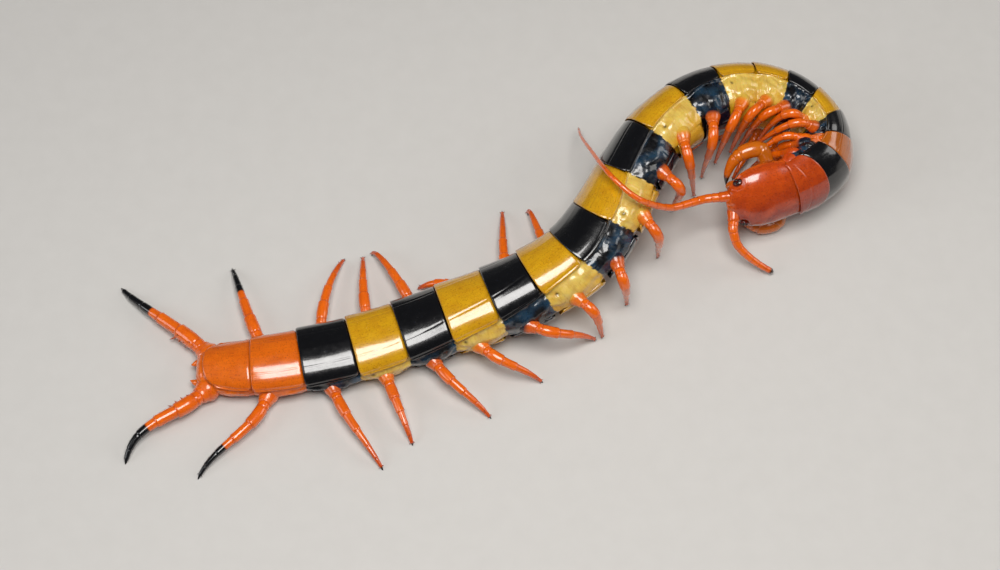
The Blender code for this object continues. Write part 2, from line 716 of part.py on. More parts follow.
def make_fang(side):
    """A poison claw, curving in below the front of the head."""
    _, along, _, points = fang_line(side)
    rings = tube_rings(points, FANG_RADII, FANG_SIDES, along.cross(UP).normalized())
    rings[0] = flat_ring(points[0], along, FANG_RADII[0], FANG_SIDES)
    name = "forcipule_right" if side > 0 else "forcipule_left"
    return loft(name, rings, ("orange", "black"), [0, 0, 0, 0, 1])


def eye_frame(side):
    """Where a group of eyes sits: its middle and the directions along, across and out of the shield."""
    frame = head_frame()
    ahead, right, up = EYE_PLACE
    middle = frame.point(ahead, right * side, up)
    ahead, right, up = EYE_FACING
    out = (frame.ahead * ahead + frame.right * right * side + frame.up * up).normalized()
    along = (frame.ahead - out * frame.ahead.dot(out)).normalized()
    return middle, along, out.cross(along), out


def ball(name, middle, directions, radii, slot):
    """A ball, flattened as its three radii say."""
    shape = bmesh.new()
    bmesh.ops.create_uvsphere(shape, u_segments=EYE_SEGMENTS, v_segments=EYE_RINGS, radius=1.0)
    for vert in shape.verts:
        moved = middle
        for direction, radius, value in zip(directions, radii, vert.co):
            moved = moved + direction * radius * value
        vert.co = lay_down(moved)
    shape.normal_update()
    bmesh.ops.recalc_face_normals(shape, faces=shape.faces)
    return finish_mesh(name, shape, (slot,))


def make_eyes(side):
    """Four single eyes on a common pad."""
    middle, along, across, out = eye_frame(side)
    directions = (along, across, out)
    pad = ball("pad", middle, directions, EYE_PAD, "black")
    spots = [(1, 0), (-1, 0), (0, 1), (0, -1)]
    eyes = []
    for a, b in spots:
        place = middle + along * EYE_SPREAD[0] * a + across * EYE_SPREAD[1] * b + out * 0.15
        eyes.append(ball("lens", place, directions, [EYE_RADIUS] * 3, "black"))
    return join_pieces("eye_right" if side > 0 else "eye_left", pad, eyes)


def make_head():
    """The head shield with the fang-bearing plate below it, its sockets and the hollows of its eyes."""
    head = head_loft("shield", SHIELD_NECK, SHIELD)
    pieces = [head_loft("fang_plate", FANG_PLATE_NECK, FANG_PLATE)]
    for side in (1, -1):
        pieces += make_sockets(side) + make_mouthparts(side)
    join_pieces("head", head, pieces)
    hollows = []
    for side in (1, -1):
        middle, *directions = eye_frame(side)
        sizes = [radius + EYE_HOLLOW_GAP for radius in EYE_PAD]
        hollows.append(ball("hollow", middle, directions, sizes, "red"))
    return cut_away(head, hollows)


def make_sockets(side):
    """The stubs on which a feeler and a fang sit."""
    radius = (RIGHT_ANTENNA_RADII if side > 0 else LEFT_ANTENNA_RADII)[0]
    socket, along, _ = antenna_line(side)
    end = socket + along * ANTENNA_SOCKET_REACH
    feeler_stub = tube("socket", [socket, end], [radius * 1.2, radius * 1.05], ANTENNA_SIDES, "red")
    socket, _, end, _ = fang_line(side)
    fang_stub = tube("fang_socket", [socket, end], [FANG_RADII[0] * 0.8, FANG_RADII[0]], FANG_SIDES, "red")
    return [feeler_stub, fang_stub]


def make_mouthparts(side):
    """A palp, and a plate with a blunt tooth between the fangs."""
    frame = head_frame()
    palp = [frame.point(ahead, right * side, up) for ahead, right, up in PALP_ROUTE]
    plate = [frame.point(ahead, right * side, up) for ahead, right, up in TOOTH_PLATE]
    return [
        tube("palp", palp, PALP_RADII, SMALL_SIDES, "red"),
        tube("tooth_plate", plate, TOOTH_PLATE_RADII, SMALL_SIDES, "red"),
    ]


def finish_parts():
    """Bring every mesh to metres, shade its round forms smooth and hang it on one empty."""
    root = bpy.data.objects.new("centipede", None)
    bpy.context.scene.collection.objects.link(root)
    for thing in PARTS.objects:
        thing.data.transform(Matrix.Scale(MM, 4))
        thing.data.shade_smooth()
        thing.data.set_sharp_from_angle(angle=math.radians(SHARP_ANGLE))
        thing.parent = root


def build():
    """Make every part of the animal."""
    for first, last in TRUNK_LENGTHS:
        make_trunk_length(first, last)
    for side, legs in ((1, RIGHT_LEGS), (-1, LEFT_LEGS)):
        for number, leg in enumerate(legs, start=1):
            make_leg(number, side, leg)
        make_antenna(side)
        make_fang(side)
        make_eyes(side)
    make_head()
    finish_parts()


def make_collection(name):
    """A collection in the scene."""
    collection = bpy.data.collections.new(name)
    bpy.context.scene.collection.children.link(collection)
    return collection


clear_scene()
PARTS = make_collection("giant_centipede")
PIECES = make_collection("pieces_to_join")
CUTTERS = make_collection("cutters")
CUTTERS.hide_render = True
MATERIALS = {name: make_material(name, colour) for name, colour in COLOURS.items()}
build()
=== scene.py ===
"""Looks of the giant centipede: its shell plates, soft skin, limbs and head over the fixed frame.

Every size is in millimetres and every angle in degrees, on a grid whose origin FOOTPRINT_MIDDLE
brings to the frame's; only the finished meshes, the lights and the camera are in metres.
"""

import math
from bisect import bisect_right
from collections import namedtuple

import bpy
import numpy as np
from mathutils import Matrix, Vector, noise


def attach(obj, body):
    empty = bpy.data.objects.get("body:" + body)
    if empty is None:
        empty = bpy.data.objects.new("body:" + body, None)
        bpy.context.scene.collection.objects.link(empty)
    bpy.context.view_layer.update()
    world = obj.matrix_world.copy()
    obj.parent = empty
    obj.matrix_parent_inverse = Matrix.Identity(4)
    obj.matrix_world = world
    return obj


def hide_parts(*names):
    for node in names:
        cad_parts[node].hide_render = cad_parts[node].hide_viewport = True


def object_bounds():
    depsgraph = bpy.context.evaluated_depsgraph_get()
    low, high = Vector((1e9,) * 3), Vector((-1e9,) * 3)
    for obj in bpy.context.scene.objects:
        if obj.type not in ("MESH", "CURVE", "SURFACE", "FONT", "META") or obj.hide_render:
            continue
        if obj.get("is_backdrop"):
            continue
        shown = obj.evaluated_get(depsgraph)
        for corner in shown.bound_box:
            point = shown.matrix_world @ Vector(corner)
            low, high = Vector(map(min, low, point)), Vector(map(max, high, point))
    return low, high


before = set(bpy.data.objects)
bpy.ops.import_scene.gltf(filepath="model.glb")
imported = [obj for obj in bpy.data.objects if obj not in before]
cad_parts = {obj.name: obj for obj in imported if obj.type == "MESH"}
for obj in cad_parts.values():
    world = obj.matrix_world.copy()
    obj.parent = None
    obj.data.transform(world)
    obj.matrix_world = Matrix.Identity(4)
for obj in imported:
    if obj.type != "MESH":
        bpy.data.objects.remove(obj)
CAD_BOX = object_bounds()

MM = 0.001
UP = Vector((0.0, 0.0, 1.0))
SIDE_NAMES = {1: "right", -1: "left"}
FOOTPRINT_MIDDLE = Vector((-2.12, 0.24, 0.0))

# The trunk's joints from the back of the head to the tail: the place of its axis, how far it rolls
# on its left side, how far its plates lean back there, and its half width and half height.
# Segment n lies between joints n - 1 and n.
Joint = namedtuple("Joint", "x y z roll lean half_width half_height")
JOINTS = [
    Joint(57.2, 15.7, 11.4, 56, 0, 6.6, 3.7),
    Joint(62.2, 19.5, 11.0, 58, -3, 7.0, 4.5),
    Joint(65.1, 23.0, 10.8, 62, -8, 7.1, 4.9),
    Joint(66.15, 26.8, 10.9, 66, -10, 7.0, 4.4),
    Joint(64.9, 30.5, 11.1, 69, -7, 7.0, 5.1),
    Joint(61.5, 33.9, 11.7, 73, -4, 6.9, 5.6),
    Joint(56.9, 35.9, 12.4, 77, 0, 7.0, 6.2),
    Joint(51.0, 36.6, 13.0, 80, 0, 7.2, 6.6),
    Joint(44.3, 35.3, 13.5, 78, 0, 7.4, 6.9),
    Joint(37.4, 31.8, 13.7, 71, 3, 7.5, 7.0),
    Joint(30.9, 25.8, 13.5, 66, 14, 7.6, 6.9),
    Joint(25.9, 17.5, 12.9, 62, 21, 7.8, 7.0),
    Joint(21.3, 8.5, 11.8, 52, 23, 8.2, 7.3),
    Joint(15.8, 0.9, 10.2, 40, 18, 8.3, 7.4),
    Joint(7.5, -4.7, 8.5, 28, 9, 8.1, 7.2),
    Joint(-1.0, -8.4, 7.1, 17, 3, 8.0, 6.7),
    Joint(-10.4, -11.4, 5.7, 9, 0, 7.8, 6.0),
    Joint(-19.2, -14.3, 4.7, 3, 0, 7.5, 5.2),
    Joint(-28.5, -17.2, 4.25, 0, 0, 7.3, 4.8),
    Joint(-38.5, -19.5, 3.95, 0, 0, 7.0, 4.5),
    Joint(-48.0, -20.9, 3.7, 0, 0, 6.3, 4.2),
    Joint(-57.4, -21.0, 3.3, 0, 0, 4.6, 3.2),
]
AXIS = [Vector((joint.x, joint.y, joint.z)) for joint in JOINTS]
ROLLS = [joint.roll for joint in JOINTS]
LEANS = [joint.lean for joint in JOINTS]
HALF_WIDTHS = [joint.half_width for joint in JOINTS]
HALF_HEIGHTS = [joint.half_height for joint in JOINTS]
SEGMENTS = len(JOINTS) - 1
TRUNK_LENGTHS = [(1, 1)] + [(first, first + 1) for first in range(2, SEGMENTS, 2)]
TRUNK_NODES = ["trunk_%02d" % a if a == b else "trunk_%02d_%02d" % (a, b) for a, b in TRUNK_LENGTHS]

# Half of a trunk section, from the middle of the back to the middle of the belly, in parts of the
# half width and the half height.  The whole outline goes on up the other side.
HALF_SECTION = [
    (0.00, 1.00), (0.32, 0.98), (0.60, 0.88), (0.82, 0.68), (0.94, 0.42),
    (0.87, 0.28), (0.97, 0.02), (0.94, -0.28),
    (0.80, -0.60), (0.56, -0.83), (0.28, -0.92), (0.00, -0.92),
]
SECTION = np.array(HALF_SECTION + [(-x, y) for x, y in reversed(HALF_SECTION[1:-1])])
SECTION_POINTS = len(SECTION)
BELLY_MIDDLE = len(HALF_SECTION) - 1

# How full the soft skin is along a segment, from its front joint to its rear one, how deep it lies
# below the plates, between which points of the section its flank shows, and the flank's relief.
# Then the round end of the tail.
SKIN_FULLNESS = [0.89, 0.945, 0.98, 0.985, 0.98, 0.945, 0.89]
SKIN_SIDES = 132
SKIN_RINGS = 48
SKIN_SUNK = 0.45
FLANK_FROM = 4.2
FLANK_TO = 8.2
LOBE_HEIGHT = 0.24
LOBE_SUNK = 0.10
FOLD_HEIGHT = 0.07
PLEAT_HEIGHT = 0.02
PUCKER_HEIGHT = 0.08
TAIL_LENGTH = 1.8
TAIL_RINGS = 10
TAIL_TURN = 69.0

# Breathing holes: which segments have them, and their place along and round the flank
SPIRACLES = (3, 5, 8, 10, 12, 14, 16, 18, 20)
SPIRACLE_PLACE = (0.78, 5.7)
SPIRACLE_SIZE = (0.035, 0.16)

# Back and belly plates: grid, how far round the section they reach, how wide they are in parts of
# the half width, how the last one narrows, and their relief
PLATE_ROWS = 46
PLATE_COLUMNS = 105
PLATE_THICKNESS = 0.14
BACK_PLATE_REACH = 4.5
BELLY_PLATE_REACH = 3.1
BACK_PLATE_SPREAD = 2.2
BELLY_PLATE_SPREAD = 1.4
TAIL_NARROWING = 0.12
PLATE_FULLNESS = (0.955, 0.970)
BELLY_FULLNESS = 0.985
PLATE_RISE = (0.10, 0.22)
ROOF = (0.32, 0.46)
RIM_PLACE = 0.935
RIM_WIDTH = 0.030
RIM_HEIGHT = 0.16
SUTURE_PLACE = 0.36
SUTURE_WIDTH = 0.016
SUTURE_DEPTH = 0.07
SIDE_DROP = 0.26
FRONT_DROP = 0.22
REAR_DROP = 0.09
PLATE_LUMPS = 0.07
RIM_GROOVE = 0.10

# Where a leg grows on the section, out from the middle and down: on an upright trunk, and on the
# upper side of one that lies fully on its side.  On its lower side a leg grows straight below the
# middle, and a little inwards.
UPRIGHT_COXA = (0.86, 0.30)
UPPER_COXA = (0.79, 0.50)
LOWER_COXA_LEAN = 0.42
LOWER_COXA_DEPTH = 0.91
FULL_ROLL = 80.0
ROLL_UNDER = (36.0, 44.0)

# How far the bases of some legs shift along the body, and up the flank: in the tight bend the
# right ones are crowded.  Then how deep a base is rooted, how far it stands out, its outline as
# how far out of the body and how wide in parts of the leg's radius, and the gap to its leg.
LEFT_COXA_SHIFTS = {20: (0.25, 0.0)}
RIGHT_COXA_SHIFTS = {
    1: (0.05, 0.0), 2: (-0.03, 0.0), 3: (-0.34, 0.0), 4: (0.26, 0.2), 5: (0.08, 0.0), 6: (0.3, 0.0),
    7: (0.1, 0.0), 8: (0.05, -0.05), 9: (0.1, -0.1), 10: (0.08, 0.0), 11: (0.12, -0.05),
    12: (0.12, -0.05), 13: (0.12, 0.0), 20: (0.2, 0.0),
}
COXA_SUNK = 2.2
COXA_REACH = 1.9
COXA_OUTLINE = [
    (-COXA_SUNK, 1.0), (-1.2, 1.4), (-0.4, 1.5), (0.2, 1.44), (0.7, 1.3), (1.1, 1.16),
    (1.4, 1.08), (1.65, 1.06), (1.8, 1.04), (1.9, 0.98), (1.95, 0.85),
]
JOINT_GAP = 0.3

# Legs: how far behind the front of its segment one grows, how far it runs on as it leaves, how high
# its middle line stays, half its thickness near the base for the first leg, a full-grown one and
# the last two, and how deep and wide its root is
LEG_PLACE = 0.55
LAST_LEG_PLACE = 0.97
LEG_STRIDE = 0.36
LEG_LOW = 0.9
LEG_RADII = (0.8, 1.2)
FULL_LEG = 12
LAST_LEG_RADII = {20: 1.35, 21: 1.7}
LEG_ROOT = 0.6
LEG_ROOT_SIZE = 0.88
LEG_SIDES = 22
LEG_RINGS = 130

# Outline of a leg from its base to its claw: the part of its length, and of its thickness.  Then
# where its articles meet.
LEG_OUTLINE = [
    (0.00, 0.88), (0.12, 0.97), (0.25, 0.88), (0.28, 0.77), (0.47, 0.71),
    (0.50, 0.62), (0.69, 0.51), (0.86, 0.38), (0.95, 0.28), (1.00, 0.05),
]
LEG_JOINTS = [0.045, 0.265, 0.485, 0.69, 0.85, 0.955]
JOINT_FLARE = 0.08
JOINT_GROOVE = 0.12
LEG_GROOVE_WIDTH = 0.006

# Each leg from the first to the last: where its foot is, how steeply it leaves the body, how far it
# arches up and sideways before the foot, how its last stretch runs, from straight to hooked back, and
# how far it leaves square to the body or towards the tail instead of towards its foot.
# The left legs under the laid-over trunk are plain: each runs straight to its foot.
Leg = namedtuple("Leg", "x y z pitch rise bow hook square back", defaults=(0.0, -0.3, 0.7, 0.0))
STRAIGHT = None
LEFT_LEGS = [
    Leg(47.0, 15.5, 0.05, -45, 1),
    Leg(51.0, 18.4, 0.05, -45, 1),
    Leg(51.6, 19.8, 0.05, -45, 1),
    Leg(56.0, 24.6, 0.05, -45, 1),
    Leg(53.8, 26.0, 0.05, -45, 1),
    Leg(50.5, 24.8, 0.05, -45, 1),
    Leg(47.6, 24.8, 0.05, -45, 1),
    Leg(44.6, 34.4, 0.05, STRAIGHT, 0),
    Leg(39.0, 31.6, 0.05, STRAIGHT, 0),
    Leg(33.4, 27.0, 0.05, STRAIGHT, 0),
    Leg(29.0, 21.0, 0.05, STRAIGHT, 0),
    Leg(25.8, 13.0, 0.05, STRAIGHT, 0),
    Leg(21.8, 3.8, 0.05, STRAIGHT, 0),
    Leg(5.7, 16.2, 0.05, -5, 3, 1.0, 0.25),
    Leg(0.4, 17.4, 0.05, 0, 2),
    Leg(-16.4, -0.9, 0.05, 8, 2),
    Leg(-25.8, 6.7, 0.05, 8, 3, 1.0, 0.1),
    Leg(-27.6, 6.6, 0.05, 5, 2),
    Leg(-31.2, 6.1, 0.05, 5, 2, -1.0),
    Leg(-53.8, 3.8, 0.05, 0, 2, 0.0, -0.3, 0.7, 0.3),
    Leg(-75.7, -0.8, 0.05, 0, 1.6, -1.4, -0.3, 0.05),
]
RIGHT_LEGS = [
    Leg(49.5, 23.5, 3.5, -40, 2),
    Leg(53.0, 25.0, 3.5, -35, 2),
    Leg(51.4, 24.1, 11.1, 20, 1.2),
    Leg(51.0, 26.8, 9.2, 43, 2.4),
    Leg(52.0, 29.1, 6.5, 62, 6.4, 0.4),
    Leg(48.8, 29.7, 4.6, 28, 2.0, 0.4),
    Leg(46.8, 28.6, 3.8, 25, 3),
    Leg(43.8, 26.9, 2.5, 10, 2),
    Leg(41.2, 25.0, 0.05, 5, 2),
    Leg(39.6, 20.5, 0.05, 0, 2, 0.0, -0.3, 0.2, 0.8),
    Leg(35.2, 17.4, 0.05, 0, 2, 0.0, -0.3, 0.3, 1.0),
    Leg(31.8, 6.2, 0.05, -5, 2, 0.0, -0.3, 0.3, 0.9),
    Leg(25.3, -4.8, 0.05, -10, 2, 0.0, -0.3, 0.3, 0.7),
    Leg(20.3, -12.1, 0.05, 0, 2),
    Leg(19.1, -12.6, 0.05, 5, 2),
    Leg(8.4, -22.1, 0.05, 5, 2),
    Leg(-1.7, -30.0, 0.05, 5, 2),
    Leg(-16.8, -35.8, 0.05, 5, 2),
    Leg(-22.4, -41.1, 0.05, 5, 2),
    Leg(-57.8, -43.0, 0.05, 5, 2, 1.5),
    Leg(-71.9, -39.8, 0.05, 5, 3, 4.4, -0.3, 0.05),
]

# Spines of a limb: how far along, which way round from straight inwards to up, how long and how
# thick at the base.  The last legs have them on the inner side of their first long article, and
# every other leg has a spur before its foot and two beside its claw.
LAST_LEG_SPINES = [
    (0.075, -50, 0.5, 0.26), (0.10, 20, 0.5, 0.26), (0.13, -20, 0.5, 0.26), (0.15, 60, 0.5, 0.26),
    (0.175, 5, 0.5, 0.26), (0.205, -38, 0.5, 0.26), (0.215, 44, 0.5, 0.26), (0.235, 20, 1.2, 0.34),
]
LEG_SPINES = [(0.835, -75, 0.45, 0.14), (0.945, -15, 0.3, 0.1), (0.945, 195, 0.3, 0.1)]

# Colours in linear red, green and blue, the live animal's and a painted blue sheen for the black skin,
# the kinds of segments from the first to the last, and for each kind the colours of its plate, its skin
# and its edges, and its slot
RED = (0.58, 0.070, 0.002)
DEEP_RED = (0.20, 0.008, 0.001)
ORANGE = (0.80, 0.155, 0.002)
AMBER = (0.50, 0.130, 0.002)
YELLOW = (0.70, 0.370, 0.004)
BROWN = (0.27, 0.105, 0.004)
CREAM = (0.74, 0.53, 0.11)
BLACK = (0.001, 0.001, 0.002)
# Painted blue sheen, a dim one and a bright one: the glint of light on the black soft skin, painted into its
# colour
DIM_PAINTED_BLUE_SHEEN = (0.004, 0.016, 0.042)
PAINTED_BLUE_SHEEN = (0.012, 0.045, 0.085)
LEG_ORANGE = (0.82, 0.140, 0.002)
LEG_RED = (0.52, 0.050, 0.003)
CLAW_BLACK = (0.012, 0.006, 0.004)
SEGMENT_KINDS = (
    ["red", "black", "amber", "black", "yellow", "black", "yellow", "yellow"]
    + ["black", "yellow"] * 5
    + ["black", "orange", "orange"]
)
PLATE_TINTS = {"red": RED, "black": BLACK, "amber": AMBER, "yellow": YELLOW, "orange": ORANGE}
# The black kind's skin colour is the dim painted blue sheen, which also tints its belly plates and leg bases
SKIN_TINTS = {"red": RED, "black": DIM_PAINTED_BLUE_SHEEN, "amber": ORANGE, "yellow": CREAM, "orange": ORANGE}
EDGE_TINTS = {"red": DEEP_RED, "black": BLACK, "amber": DEEP_RED, "yellow": BROWN, "orange": DEEP_RED}
KIND_SLOTS = {
    "red": "shell_red",
    "black": "shell_black_and_yellow",
    "amber": "shell_black_and_orange",
    "yellow": "shell_black_and_yellow",
    "orange": "shell_orange",
}

# Shades laid over them in the materials, the floor's and the sky's colours, how far a colour goes at
# most towards its edge's, and where along a leg its claw or its dark end starts
CLOUD_SHADE = (0.62, 0.40, 0.30)
STREAK_SHADE = (0.50, 0.33, 0.22)
SPECKLE_SHADE = (0.30, 0.15, 0.10)
SKIN_CLOUD_SHADE = (0.62, 0.40, 0.25)
PLEAT_SHADE = (0.70, 0.50, 0.30)
FLOOR_COLOURS = ((0.56, 0.545, 0.52), (0.60, 0.585, 0.56))
SKY_COLOUR = (0.90, 0.93, 0.97, 1.0)
DEEPEST = 0.85
CLAW_START = 0.958
DARK_END_START = {20: 0.59, 21: 0.58}

# The head, in its own frame: forward, right and up from its middle.  Rings across the shield and
# across the plate that bears the fangs: place, half width, height above and depth below.  A neck is
# a ring at the trunk's front without its place, and a spread is how long and wide a surface is.
HEAD_MIDDLE = Vector((51.1, 14.0, 11.2))
HEAD_HEADING = -161.0
HEAD_ROLL = 55.0
HEAD_SIDES = 120
HEAD_RINGS_BETWEEN = 11
HEAD_SUNK = 0.8
SHIELD_NECK = (6.0, 3.15, 2.4)
SHIELD_SPREAD = (12.0, 24.0)
SHIELD = [(-4.4, 6.2, 3.2, 2.6), (-2.0, 6.4, 3.3, 2.6), (0.6, 6.2, 3.1, 2.4), (3.0, 5.4, 2.6, 2.1),
          (4.8, 4.1, 1.9, 1.7), (5.8, 2.8, 1.3, 1.3), (6.3, 1.6, 0.7, 0.8), (6.5, 0.6, 0.3, 0.3)]
SHIELD_EDGE = 96.0
SHIELD_STEP = 0.42
SHIELD_RIM = 0.14
FANG_PLATE_NECK = (5.4, -1.0, 3.2)
FANG_PLATE_SPREAD = (8.0, 22.0)
FANG_PLATE = [(-4.0, 6.4, -0.8, 4.5), (-1.8, 6.3, -0.8, 4.8), (0.6, 5.2, -0.8, 4.8),
              (2.4, 3.4, -0.9, 4.4), (2.7, 1.6, -1.4, 3.6)]

# Fangs, from their sockets on the plate round below the front of the head, with a shift forward and a
# spread outward for each side
FANG_SIDES = 36
FANG_SOCKET = (-4.6, 4.2, -3.1)
FANG_ROUTE = [(-3.8, 7.4, -3.3), (-1.8, 8.0, -3.5), (0.4, 7.6, -3.8), (2.2, 6.2, -4.3), (3.5, 3.8, -4.9),
              (4.0, 1.6, -5.3)]
FANG_SHIFTS = {1: 0.4, -1: -0.7}
FANG_SPREADS = {1: 1.05, -1: 1.1}
FANG_RADII = [1.5, 1.62, 1.64, 1.45, 1.12, 0.7, 0.08]
FANG_JOINTS = [0.20, 0.50, 0.58]
FANG_GROOVE_WIDTH = 0.012
FANG_TIP = (0.80, 0.88)
FANG_STEPS = 16

# Feelers: sockets in the head's frame, routes on the ground's grid, radii at both ends, how the
# articles swell, and the stub in the socket: how far out, and how wide
ANTENNA_SIDES = 22
ANTENNA_SOCKET = (5.2, 1.6, 0.0)
ANTENNA_SOCKET_REACH = 2.1
ANTENNA_STEPS = 12
RIGHT_ANTENNA_ROUTE = [
    (40.7, 13.0, 11.6), (37.7, 11.8, 12.0), (34.0, 9.9, 13.4), (30.4, 8.2, 17.0), (26.8, 7.5, 20.6),
    (23.5, 9.5, 22.2), (20.6, 13.4, 21.8), (18.2, 21.9, 15.4), (16.5, 29.8, 8.6), (16.1, 35.5, 3.5),
]
LEFT_ANTENNA_ROUTE = [
    (46.3, 7.6, 8.4), (47.3, 5.6, 6.2), (49.4, 4.3, 4.2), (51.9, 3.3, 2.4), (54.6, 2.4, 1.0),
]
RIGHT_ANTENNA_RADII = (0.98, 0.28)
LEFT_ANTENNA_RADII = (1.12, 0.62)
ANTENNA_ARTICLES = {1: 20, -1: 9}
ANTENNA_SWELL = (0.95, 0.05)
ANTENNA_CREASE = 0.86
ANTENNA_STUB = [(-0.5, 1.25), (0.8, 1.2), (1.7, 1.05), (2.2, 1.1)]
ANTENNA_STUB_END = 0.8
LEFT_TIP_START = 0.93

# Palps and tooth plates below the front of the head, the two processes below the tail, and how
# finely all of these are made
PALP_ROUTE = [(1.8, 2.4, -1.6), (3.4, 2.6, -3.2), (4.3, 1.9, -4.3), (4.4, 0.9, -4.7)]
PALP_RADII = [0.62, 0.6, 0.48, 0.12]
TOOTH_PLATE = [(1.6, 0.9, -3.4), (2.7, 0.82, -3.46), (3.3, 0.75, -3.5)]
TOOTH_PLATE_RADII = [0.7, 0.62, 0.3]
TEETH = (-0.36, -0.12, 0.12, 0.36)
TAIL_PROCESS = [(-0.2, 2.2, -1.3), (-1.8, 2.1, -1.2), (-2.9, 1.7, -1.0)]
TAIL_PROCESS_RADII = [1.0, 0.75, 0.12]
SMALL_SIDES = 20
PALP_STEPS = 10
TAIL_PROCESS_STEPS = 12
THINNEST = 0.03

# The four single eyes on each side, on a pad in a hollow of the shield, and how fine a ball is
EYE_PLACE = (3.8, 4.5, 0.9)
EYE_FACING = (0.45, 0.75, 0.6)
EYE_PAD = (1.0, 0.8, 0.35)
EYE_RADIUS = 0.34
EYE_SPREAD = (0.5, 0.38)
EYE_HOLLOW = (1.15, 0.5)
EYE_RIM = (1.75, 0.3, 0.16)
BALL_RINGS = 14
BALL_SIDES = 24

# Camera, floor, sky and lights: the photograph's angle, then each light's place, size, power and
# colour
CAMERA_ELEVATION = 60.0
CAMERA_DISTANCE = 500.0
CAMERA_LENS = 90.0
FLOOR_REACH = 1500.0
SKY_STRENGTH = 0.07
Light = namedtuple("Light", "name x y z size power colour")
LIGHTS = [
    Light("key", 15.0, -100.0, 420.0, 230.0, 1.75, (1.0, 0.98, 0.96)),
    Light("left", -430.0, -120.0, 260.0, 240.0, 0.5, (0.95, 0.97, 1.0)),
    Light("right", 430.0, 60.0, 260.0, 240.0, 0.5, (1.0, 0.98, 0.95)),
]


def smooth_at(values, place):
    """Value at a place counted in joints, on a smooth curve through a list of values."""
    before = min(max(math.floor(place), 0), len(values) - 2)
    t = place - before
    p1 = values[before]
    p2 = values[before + 1]
    p0 = values[before - 1] if before > 0 else p1 * 2 - p2
    p3 = values[before + 2] if before + 2 < len(values) else p2 * 2 - p1
    return (p1 * 2 + (p2 - p0) * t + (p0 * 2 - p1 * 5 + p2 * 4 - p3) * t ** 2
            + (p1 * 3 - p0 - p2 * 3 + p3) * t ** 3) * 0.5


class Frame:
    """A place on the trunk or the head with its own directions: ahead, right and up."""

    def __init__(self, middle, ahead, roll, lean=0.0):
        level_right = ahead.cross(UP).normalized()
        self.middle = middle
        self.ahead = Matrix.Rotation(math.radians(lean), 3, level_right) @ ahead.normalized()
        level_up = level_right.cross(self.ahead)
        turn = math.radians(roll)
        self.right = level_right * math.cos(turn) + level_up * math.sin(turn)
        self.up = level_up * math.cos(turn) - level_right * math.sin(turn)

    def point(self, ahead, right, up):
        """A point given in this frame."""
        return self.middle + self.ahead * ahead + self.right * right + self.up * up

    def out(self, right, up):
        """A direction square to ahead."""
        return self.right * right + self.up * up


def trunk_frame(place):
    """The frame of the trunk at a place counted in joints from the head."""
    step = 0.02
    ahead = smooth_at(AXIS, place - step) - smooth_at(AXIS, place + step)
    return Frame(smooth_at(AXIS, place), ahead, smooth_at(ROLLS, place), smooth_at(LEANS, place))


def head_frame():
    """The frame of the head."""
    heading = math.radians(HEAD_HEADING)
    return Frame(HEAD_MIDDLE, Vector((math.cos(heading), math.sin(heading), 0.0)), HEAD_ROLL)


def blend(start, end, part):
    """Value part of the way between two."""
    return start + (end - start) * part


def ease(value, start, end):
    """How far a value has come from start to end, from 0 to 1, with soft ends."""
    part = min(max((value - start) / (end - start), 0.0), 1.0)
    return part * part * (3.0 - 2.0 * part)


def ridge(value, place, width):
    """A soft bump of height 1 at a place."""
    return math.exp(-((value - place) / width) ** 2)


def cloud(x, y, seed):
    """A smooth random value between about -1 and 1."""
    return noise.noise(Vector((x, y, seed)))


def mixed(first, second, part):
    """A colour part of the way between two."""
    return tuple(blend(a, b, part) for a, b in zip(first, second))


def section_at(around):
    """Point of the section, and its slope there, at a place counted round its points."""
    before = math.floor(around)
    t = around - before
    weights = np.zeros(SECTION_POINTS)
    slope_weights = np.zeros(SECTION_POINTS)
    share = (-t + 2 * t ** 2 - t ** 3, 2 - 5 * t ** 2 + 3 * t ** 3,
             t + 4 * t ** 2 - 3 * t ** 3, -t ** 2 + t ** 3)
    slope = (-1 + 4 * t - 3 * t ** 2, -10 * t + 9 * t ** 2,
             1 + 8 * t - 9 * t ** 2, -2 * t + 3 * t ** 2)
    for i in range(4):
        point = (before - 1 + i) % SECTION_POINTS
        weights[point] += share[i] / 2
        slope_weights[point] += slope[i] / 2
    return weights @ SECTION, slope_weights @ SECTION


class TrunkRing:
    """The trunk's section at one place, for many points round it."""

    known = {}
    sections = {}

    def __init__(self, place, ahead=0.0, size=1.0):
        self.frame = trunk_frame(place)
        self.ahead = ahead
        self.half_width = smooth_at(HALF_WIDTHS, place) * size
        self.half_height = smooth_at(HALF_HEIGHTS, place) * size

    @classmethod
    def at(cls, place):
        """The ring at a place, kept for the points that share it."""
        key = round(place, 6)
        if key not in cls.known:
            cls.known[key] = cls(place)
        return cls.known[key]

    def point(self, around, fullness, lift):
        """A point of the surface, raised square to it."""
        key = round(around, 6)
        if key not in self.sections:
            self.sections[key] = section_at(around)
        (x, y), (dx, dy) = self.sections[key]
        dx, dy = dx * self.half_width, dy * self.half_height
        length = math.hypot(dx, dy) or 1.0
        right = x * self.half_width * fullness - dy / length * lift
        up = y * self.half_height * fullness + dx / length * lift
        return self.frame.point(self.ahead, right, up)


# One point of a surface with its colour
Spot = namedtuple("Spot", "point tint")


